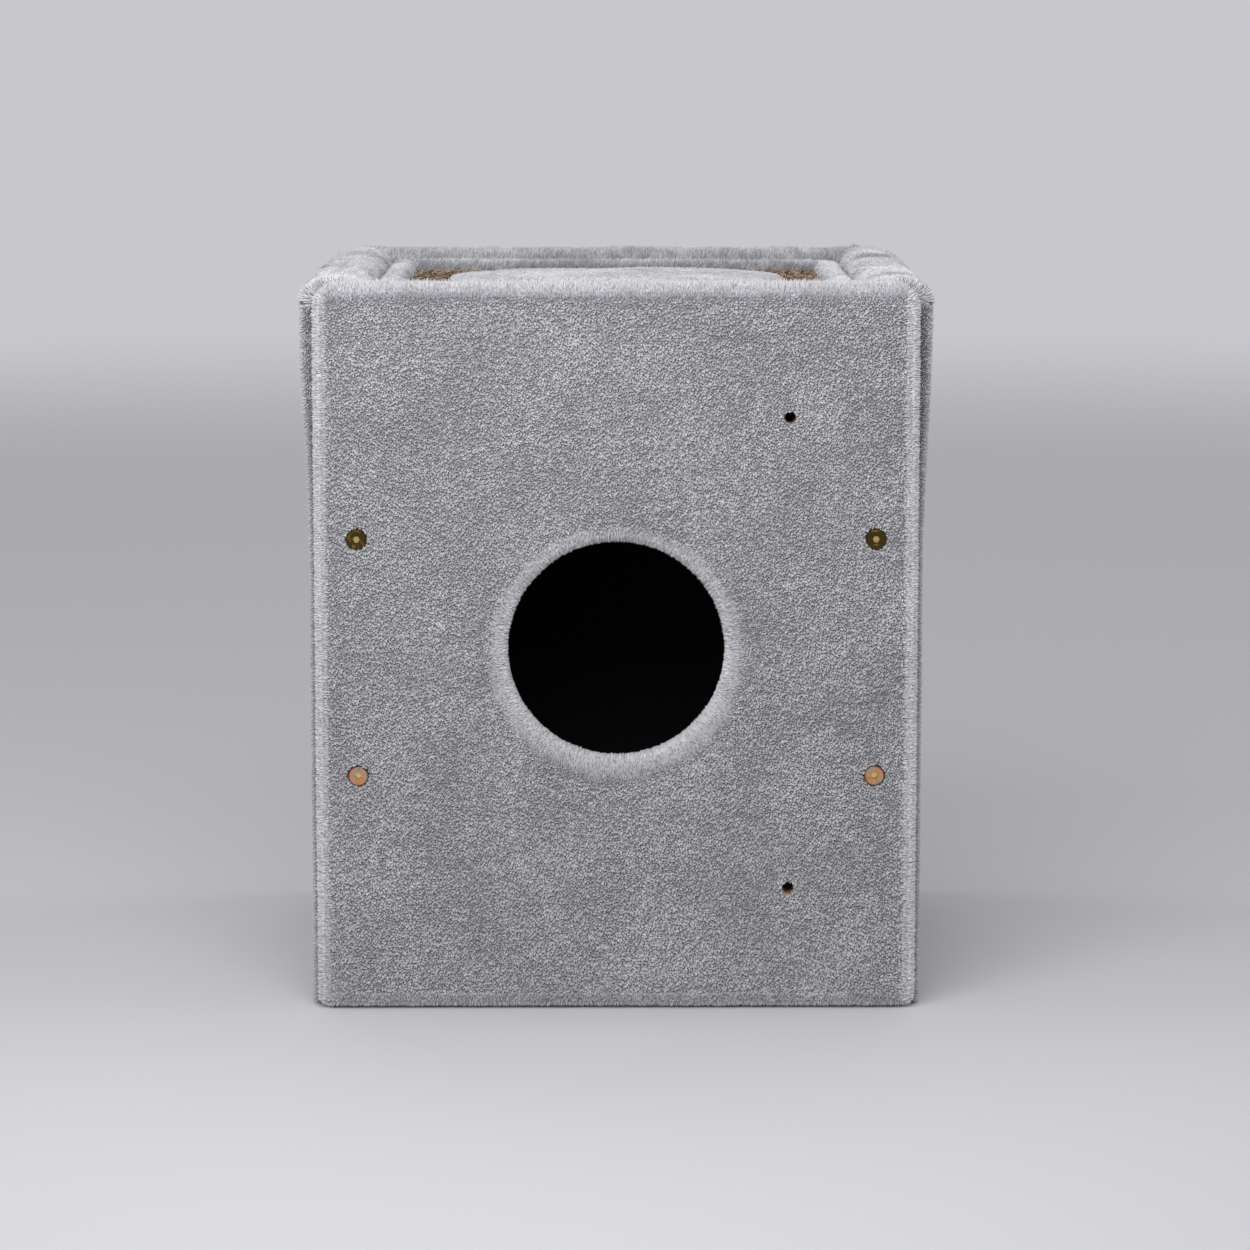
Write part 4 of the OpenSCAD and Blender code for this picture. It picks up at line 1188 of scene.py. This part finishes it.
class CONDO_OT_mat(bpy.types.Operator):
    """Lays the looped mat on the deck"""

    bl_idname = "condo.mat"
    bl_label = "Looped mat"

    def execute(self, context):
        sizes, colours = context.scene.condo_mat, context.scene.condo_colours
        step, wave, wave_seed, sag, loop_seed, level = 6 * MM, 30 * MM, 5, 0.3 * MM, 41, 0.5
        xs = np.linspace(MAT_LOW.x, MAT_HIGH.x, int((MAT_HIGH.x - MAT_LOW.x) / step))
        ys = np.linspace(MAT_LOW.y, MAT_HIGH.y, int((MAT_HIGH.y - MAT_LOW.y) / step))
        rows = np.array([[(x, y, MAT_LOW.z + sizes.ground) for x in xs] for y in ys])
        rows[..., 2] += np.minimum(ripple(rows, wave, wave_seed), 0) * sag
        jute = finish_of("Jute ground", woven_ground, colours)
        mat = link("looped_mat", skin("looped_mat", rows), jute, jute)
        thicken(mat, sizes.ground)
        loops = grow(
            "mat_loops", loop_tree(), mat, finish_of("Looped brown yarn", looped_yarn, colours), loop_seed,
            keep=lambda n, c: n.z > level, spacing=sizes.spacing,
            loop_radius=sizes.loop_r, yarn_radius=sizes.yarn_r,
        )
        for piece in (mat, loops):
            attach(piece, "condo")
        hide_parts("scratch_mat")
        return {"FINISHED"}


def blow_up(obj, voxel, pressure, cap, frames=20):
    """Swells a pad under its own cloth, with no point moving further than cap."""
    least = 1e-9
    even = obj.modifiers.new("Even faces", "REMESH")
    even.mode, even.voxel_size = "VOXEL", voxel
    apply_modifiers(obj)
    count = len(obj.data.vertices)
    before, after = np.zeros(count * 3), np.zeros(count * 3)
    obj.data.vertices.foreach_get("co", before)
    cloth = obj.modifiers.new("Cloth", "CLOTH")
    cloth.settings.use_pressure = True
    cloth.settings.uniform_pressure_force = pressure
    cloth.settings.effector_weights.gravity = 0
    cloth.point_cache.frame_end = frames
    scene = bpy.context.scene
    for step in range(1, frames + 1):
        scene.frame_set(step)
    shaped = obj.evaluated_get(bpy.context.evaluated_depsgraph_get()).to_mesh()
    shaped.vertices.foreach_get("co", after)
    obj.modifiers.remove(cloth)
    scene.frame_set(1)
    move = (after - before).reshape(-1, 3)
    far = np.linalg.norm(move, axis=1, keepdims=True)
    move *= np.minimum(1.0, cap / np.maximum(far, least))
    obj.data.vertices.foreach_set("co", (before.reshape(-1, 3) + move).ravel())


class CONDO_OT_cushion(bpy.types.Operator):
    """Makes the loose cushion: blown up as cloth, then set down on the mat"""

    bl_idname = "condo.cushion"
    bl_label = "Cushion"

    def execute(self, context):
        silk, ground = plush(context.scene, "Silky plush pile")
        square, steep, sink, seam, lift = 2.4, 2.4, 2.8 * MM, 2.8 * MM, 0.2 * MM
        steps, turns, innermost, wave, wave_seed, dimple = 12, 120, 0.02, 55 * MM, 6, 0.8 * MM
        wide, deep = (PAD_HIGH.x - PAD_LOW.x) / 2, (PAD_HIGH.y - PAD_LOW.y) / 2
        middle_y = (PAD_HIGH.y + PAD_LOW.y) / 2
        low, crown = PAD_LOW.z, PAD_HIGH.z - PAD_LOW.z - sink
        # Rings from the middle of the underside out to the seam and back over the top
        under = [(out, 0.0) for out in np.linspace(innermost, 1, steps)]
        over = [(out, 1.0) for out in np.linspace(1, innermost, steps)]
        rows = []
        for out, up in under + over:
            ring = []
            for a in np.linspace(0, math.tau, turns, endpoint=False):
                c, s = abs(math.cos(a)), abs(math.sin(a))
                reach = out * (c ** square + s ** square) ** (-1 / square)
                slope = steep + math.cos(a)
                height = low + up * (seam + (crown - seam) * (1 - out ** slope)) + (1 - up) * lift
                ring.append((wide * reach * math.cos(a), middle_y + deep * reach * math.sin(a), height))
            rows.append(ring)
        pad = link("cushion_plush", skin("cushion_plush", rows, ring=True, caps=True, flip=True), ground)
        blow_up(pad, voxel=3 * MM, pressure=4.0, cap=0.8 * MM)
        spots = np.array([v.co for v in pad.data.vertices])
        uneven = ripple(spots, wave, wave_seed) * dimple * (spots[:, 2] > low + seam)
        spots[:, 2] = np.clip(spots[:, 2] + uneven, low, PAD_HIGH.z)
        pad.data.vertices.foreach_set("co", spots.ravel())
        smooth = pad.modifiers.new("Smooth", "SUBSURF")
        smooth.levels = smooth.render_levels = 1
        apply_modifiers(pad)
        pad.data.shade_smooth()
        aslant, tone, underside, seed = 0.35, 0.58, -0.2, 51

        def backwards(place, normal):
            return Vector((aslant, 1, 0)).normalized(), tone

        fur = pile("cushion_pile", pad, silk, seed, backwards, "pad", lambda n, c: n.z > underside)
        for piece in (pad, fur):
            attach(piece, "cushion")
        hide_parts("cushion")
        return {"FINISHED"}


class CONDO_OT_felt(bpy.types.Operator):
    """Lines the cabin's walls, floor and ceiling with felt"""

    bl_idname = "condo.felt"
    bl_label = "Felt lining"

    def execute(self, context):
        felt = finish_of("Charcoal needle felt", needle_felt, context.scene.condo_colours)
        walls = {
            "left": "left_panel", "right": "right_panel", "back": "back_panel", "floor": "base_panel",
            "deck": "deck_panel",
        }
        for seed, (side, wall) in enumerate(walls.items()):
            low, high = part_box(f"{side}_lining")
            thin = min(range(3), key=lambda i: high[i] - low[i])
            one, two = [i for i in range(3) if i != thin]
            mesh = self.sheet_mesh(f"{side}_felt", low, high, thin, one, two, seed)
            piece = link(f"{side}_felt", mesh, felt)
            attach(piece, "condo")
            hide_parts(f"{side}_lining")
        return {"FINISHED"}

    def sheet_mesh(self, name, low, high, thin, one, two, seed):
        """A felt sheet in its box, cut out round the battens, its two faces slightly uneven."""
        step, gap, wave, uneven, reach = 9 * MM, 0.5 * MM, 24 * MM, 0.5 * MM, 5 * MM
        nearest = step / 3
        lines = []
        for axis in (one, two):
            marks = np.linspace(low[axis], high[axis], int((high[axis] - low[axis]) / step) + 1)
            ends = [end for bl, bh in BATTENS for end in (bl[axis] - gap, bh[axis] + gap)]
            cuts = [end for end in ends if low[axis] < end < high[axis]]
            marks = [m for m in marks if all(abs(m - c) > nearest for c in cuts)]
            lines.append(np.array(sorted(set(marks) | set(cuts))))
        grid = [(a, b) for a in lines[0] for b in lines[1]]
        count = len(lines[1])
        mesh = bpy.data.meshes.new(name)
        work = bmesh.new()
        layers = []
        for level in (low[thin], high[thin]):
            inward = 1 if level == low[thin] else -1
            layer = []
            for a, b in grid:
                spot = [0.0, 0.0, 0.0]
                spot[thin], spot[one], spot[two] = level, a, b
                pressed = (1 + noise.noise(Vector(spot) / wave + Vector((seed, 0, 0)))) / 2
                spot[thin] += inward * pressed * uneven
                layer.append(work.verts.new(spot))
            layers.append(layer)
        solid = set()
        for i in range(len(lines[0]) - 1):
            for j in range(count - 1):
                a, b = (lines[0][i] + lines[0][i + 1]) / 2, (lines[1][j] + lines[1][j + 1]) / 2
                inside = any(
                    bl[one] - gap < a < bh[one] + gap and bl[two] - gap < b < bh[two] + gap and
                    bl[thin] - reach < high[thin] < bh[thin] + reach for bl, bh in BATTENS
                )
                if not inside:
                    solid.add((i, j))
        for i, j in solid:
            corner = [i * count + j, (i + 1) * count + j, (i + 1) * count + j + 1, i * count + j + 1]
            work.faces.new([layers[1][k] for k in corner])
            work.faces.new([layers[0][k] for k in corner[::-1]])
            for di, dj, (p, q) in ((0, -1, (0, 1)), (1, 0, (1, 2)), (0, 1, (2, 3)), (-1, 0, (3, 0))):
                if (i + di, j + dj) not in solid:
                    a, b = corner[p], corner[q]
                    work.faces.new([layers[0][a], layers[0][b], layers[1][b], layers[1][a]])
        for vertex in [v for v in work.verts if not v.link_faces]:
            work.verts.remove(vertex)
        bmesh.ops.recalc_face_normals(work, faces=work.faces)
        work.to_mesh(mesh)
        work.free()
        return mesh


class CONDO_OT_boards(bpy.types.Operator):
    """Finishes the boards and battens"""

    bl_idname = "condo.boards"
    bl_label = "Boards and battens"

    def execute(self, context):
        colours = context.scene.condo_colours
        board = finish_of("Raw chipboard", chipboard, colours)
        wood = finish_of("Planed spruce", softwood, colours)
        for name, obj in frame["nodes"].items():
            if name.endswith("_panel"):
                dress(obj, board)
            elif name.endswith("_batten"):
                dress(obj, wood)
        return {"FINISHED"}


class CONDO_OT_metal(bpy.types.Operator):
    """Finishes the connector bolts, insert nuts and screws"""

    bl_idname = "condo.metal"
    bl_label = "Bolts, nuts and screws"

    def execute(self, context):
        colours = context.scene.condo_colours
        gold = finish_of("Yellow passivated zinc", yellow_zinc, colours)
        zinc = finish_of("Bright zinc plating", bright_zinc, colours)
        dress(frame["nodes"]["connector_bolts"], gold)
        for name, obj in frame["nodes"].items():
            if name == "insert_nuts" or name.endswith("_screws"):
                dress(obj, zinc)
        return {"FINISHED"}


def dress(obj, material):
    """Gives a CAD node one material."""
    if not obj.material_slots:
        obj.data.materials.append(material)
    for place in obj.material_slots:
        place.link = "OBJECT"
        place.material = material


class CONDO_OT_stage(bpy.types.Operator):
    """Sets the floor, the light and the camera"""

    bl_idname = "condo.stage"
    bl_label = "Stage"

    def execute(self, context):
        scene, setup = context.scene, context.scene.condo_stage
        scene.view_settings.view_transform = "Standard"
        floor_r, floor_steps, key_size, key_place, sensor = 8.0, 96, 1.2, (-0.2, -1.1, 1.3), 36.0
        work = bmesh.new()
        bmesh.ops.create_circle(work, cap_ends=True, segments=floor_steps, radius=floor_r)
        mesh = bpy.data.meshes.new("floor")
        work.to_mesh(mesh)
        work.free()
        link("floor", mesh, studio_floor(scene.condo_colours))
        # Where each broad light comes from, how many degrees it spans and its strength
        lights = {
            "front": ((-0.35, -1.0, 0.55), 50, setup.front), "left": ((-1.0, 0.12, 0.45), 30, setup.sides),
            "right": ((1.0, 0.12, 0.45), 30, setup.sides), "back": ((0.0, 0.6, 1.0), 40, setup.back),
        }
        for name, (place, spread, strength) in lights.items():
            self.light(name, place, spread, strength)
        lamp = bpy.data.lights.new("key", "AREA")
        lamp.size, lamp.energy = key_size, setup.key
        key = bpy.data.objects.new("key", lamp)
        key.location = key_place
        to_top = Vector((0, 0, PANEL_HIGH.z)) - key.location
        key.rotation_euler = to_top.to_track_quat("-Z", "Y").to_euler()
        scene.collection.objects.link(key)
        world = bpy.data.worlds.new("Studio")
        scene.world = world
        world.use_nodes = True
        tree = world.node_tree
        sky = tree.nodes["Background"]
        sky.inputs["Color"].default_value = (1, 1, 1, 1)
        sky.inputs["Strength"].default_value = setup.sky
        seen = add(tree, "ShaderNodeBackground", {0: scene.condo_colours.backdrop, 1: 1.0})
        ray = add(tree, "ShaderNodeLightPath").outputs
        mix = add(
            tree, "ShaderNodeMixShader", None,
            {0: ray["Is Camera Ray"], 1: sky.outputs[0], 2: seen.outputs[0]},
        )
        tree.links.new(mix.outputs[0], tree.nodes["World Output"].inputs["Surface"])
        camera = bpy.data.cameras.new("camera")
        camera.lens, camera.sensor_width, camera.shift_y = setup.lens, sensor, setup.shift
        camera.clip_start, camera.clip_end = 0.05, 100
        view = bpy.data.objects.new("camera", camera)
        view.location = (-setup.across, PANEL_LOW.y - setup.distance, setup.height)
        view.rotation_euler = (math.pi / 2 - setup.pitch, 0, -setup.turn)
        scene.collection.objects.link(view)
        scene.camera = view
        return {"FINISHED"}

    def light(self, name, place, spread, strength):
        """A broad soft light from a direction, as even over the floor as over the object."""
        lamp = bpy.data.lights.new(name, "SUN")
        lamp.angle, lamp.energy = math.radians(spread), strength
        obj = bpy.data.objects.new(name, lamp)
        obj.location = place
        obj.rotation_euler = (-Vector(place)).to_track_quat("-Z", "Y").to_euler()
        bpy.context.scene.collection.objects.link(obj)


OPERATORS = (
    CONDO_OT_stage, CONDO_OT_cushion, CONDO_OT_front, CONDO_OT_wrap, CONDO_OT_rim, CONDO_OT_mat,
    CONDO_OT_felt, CONDO_OT_boards, CONDO_OT_metal,
)
GROUPS = {
    "condo_form": CondoForm, "condo_pile": CondoPile, "condo_mat": CondoMat, "condo_colours": CondoColours,
    "condo_stage": CondoStage,
}


class CONDO_PT_panel(bpy.types.Panel):
    """Lists the condo's sizes, colours and pieces"""

    bl_idname = "CONDO_PT_panel"
    bl_label = "Cat condo"
    bl_space_type = "VIEW_3D"
    bl_region_type = "UI"
    bl_category = "Cat condo"

    def draw(self, context):
        for operator in OPERATORS:
            self.layout.operator(operator.bl_idname)
        for name, group in GROUPS.items():
            box = self.layout.box()
            for key in group.__annotations__:
                box.prop(getattr(context.scene, name), key)


def register():
    """Makes the groups, the operators and the panel known to Blender."""
    for group in GROUPS.values():
        bpy.utils.register_class(group)
    for name, group in GROUPS.items():
        setattr(bpy.types.Scene, name, PointerProperty(type=group))
    for kind in (*OPERATORS, CONDO_PT_panel):
        bpy.utils.register_class(kind)


def unregister():
    """Takes them away again."""
    for kind in (CONDO_PT_panel, *reversed(OPERATORS)):
        bpy.utils.unregister_class(kind)
    for name, group in GROUPS.items():
        delattr(bpy.types.Scene, name)
        bpy.utils.unregister_class(group)


def main():
    """Makes every piece and the stage."""
    register()
    for operator in OPERATORS:
        getattr(bpy.ops.condo, operator.bl_idname.split(".")[1])()


if __name__ == "__main__":
    main()
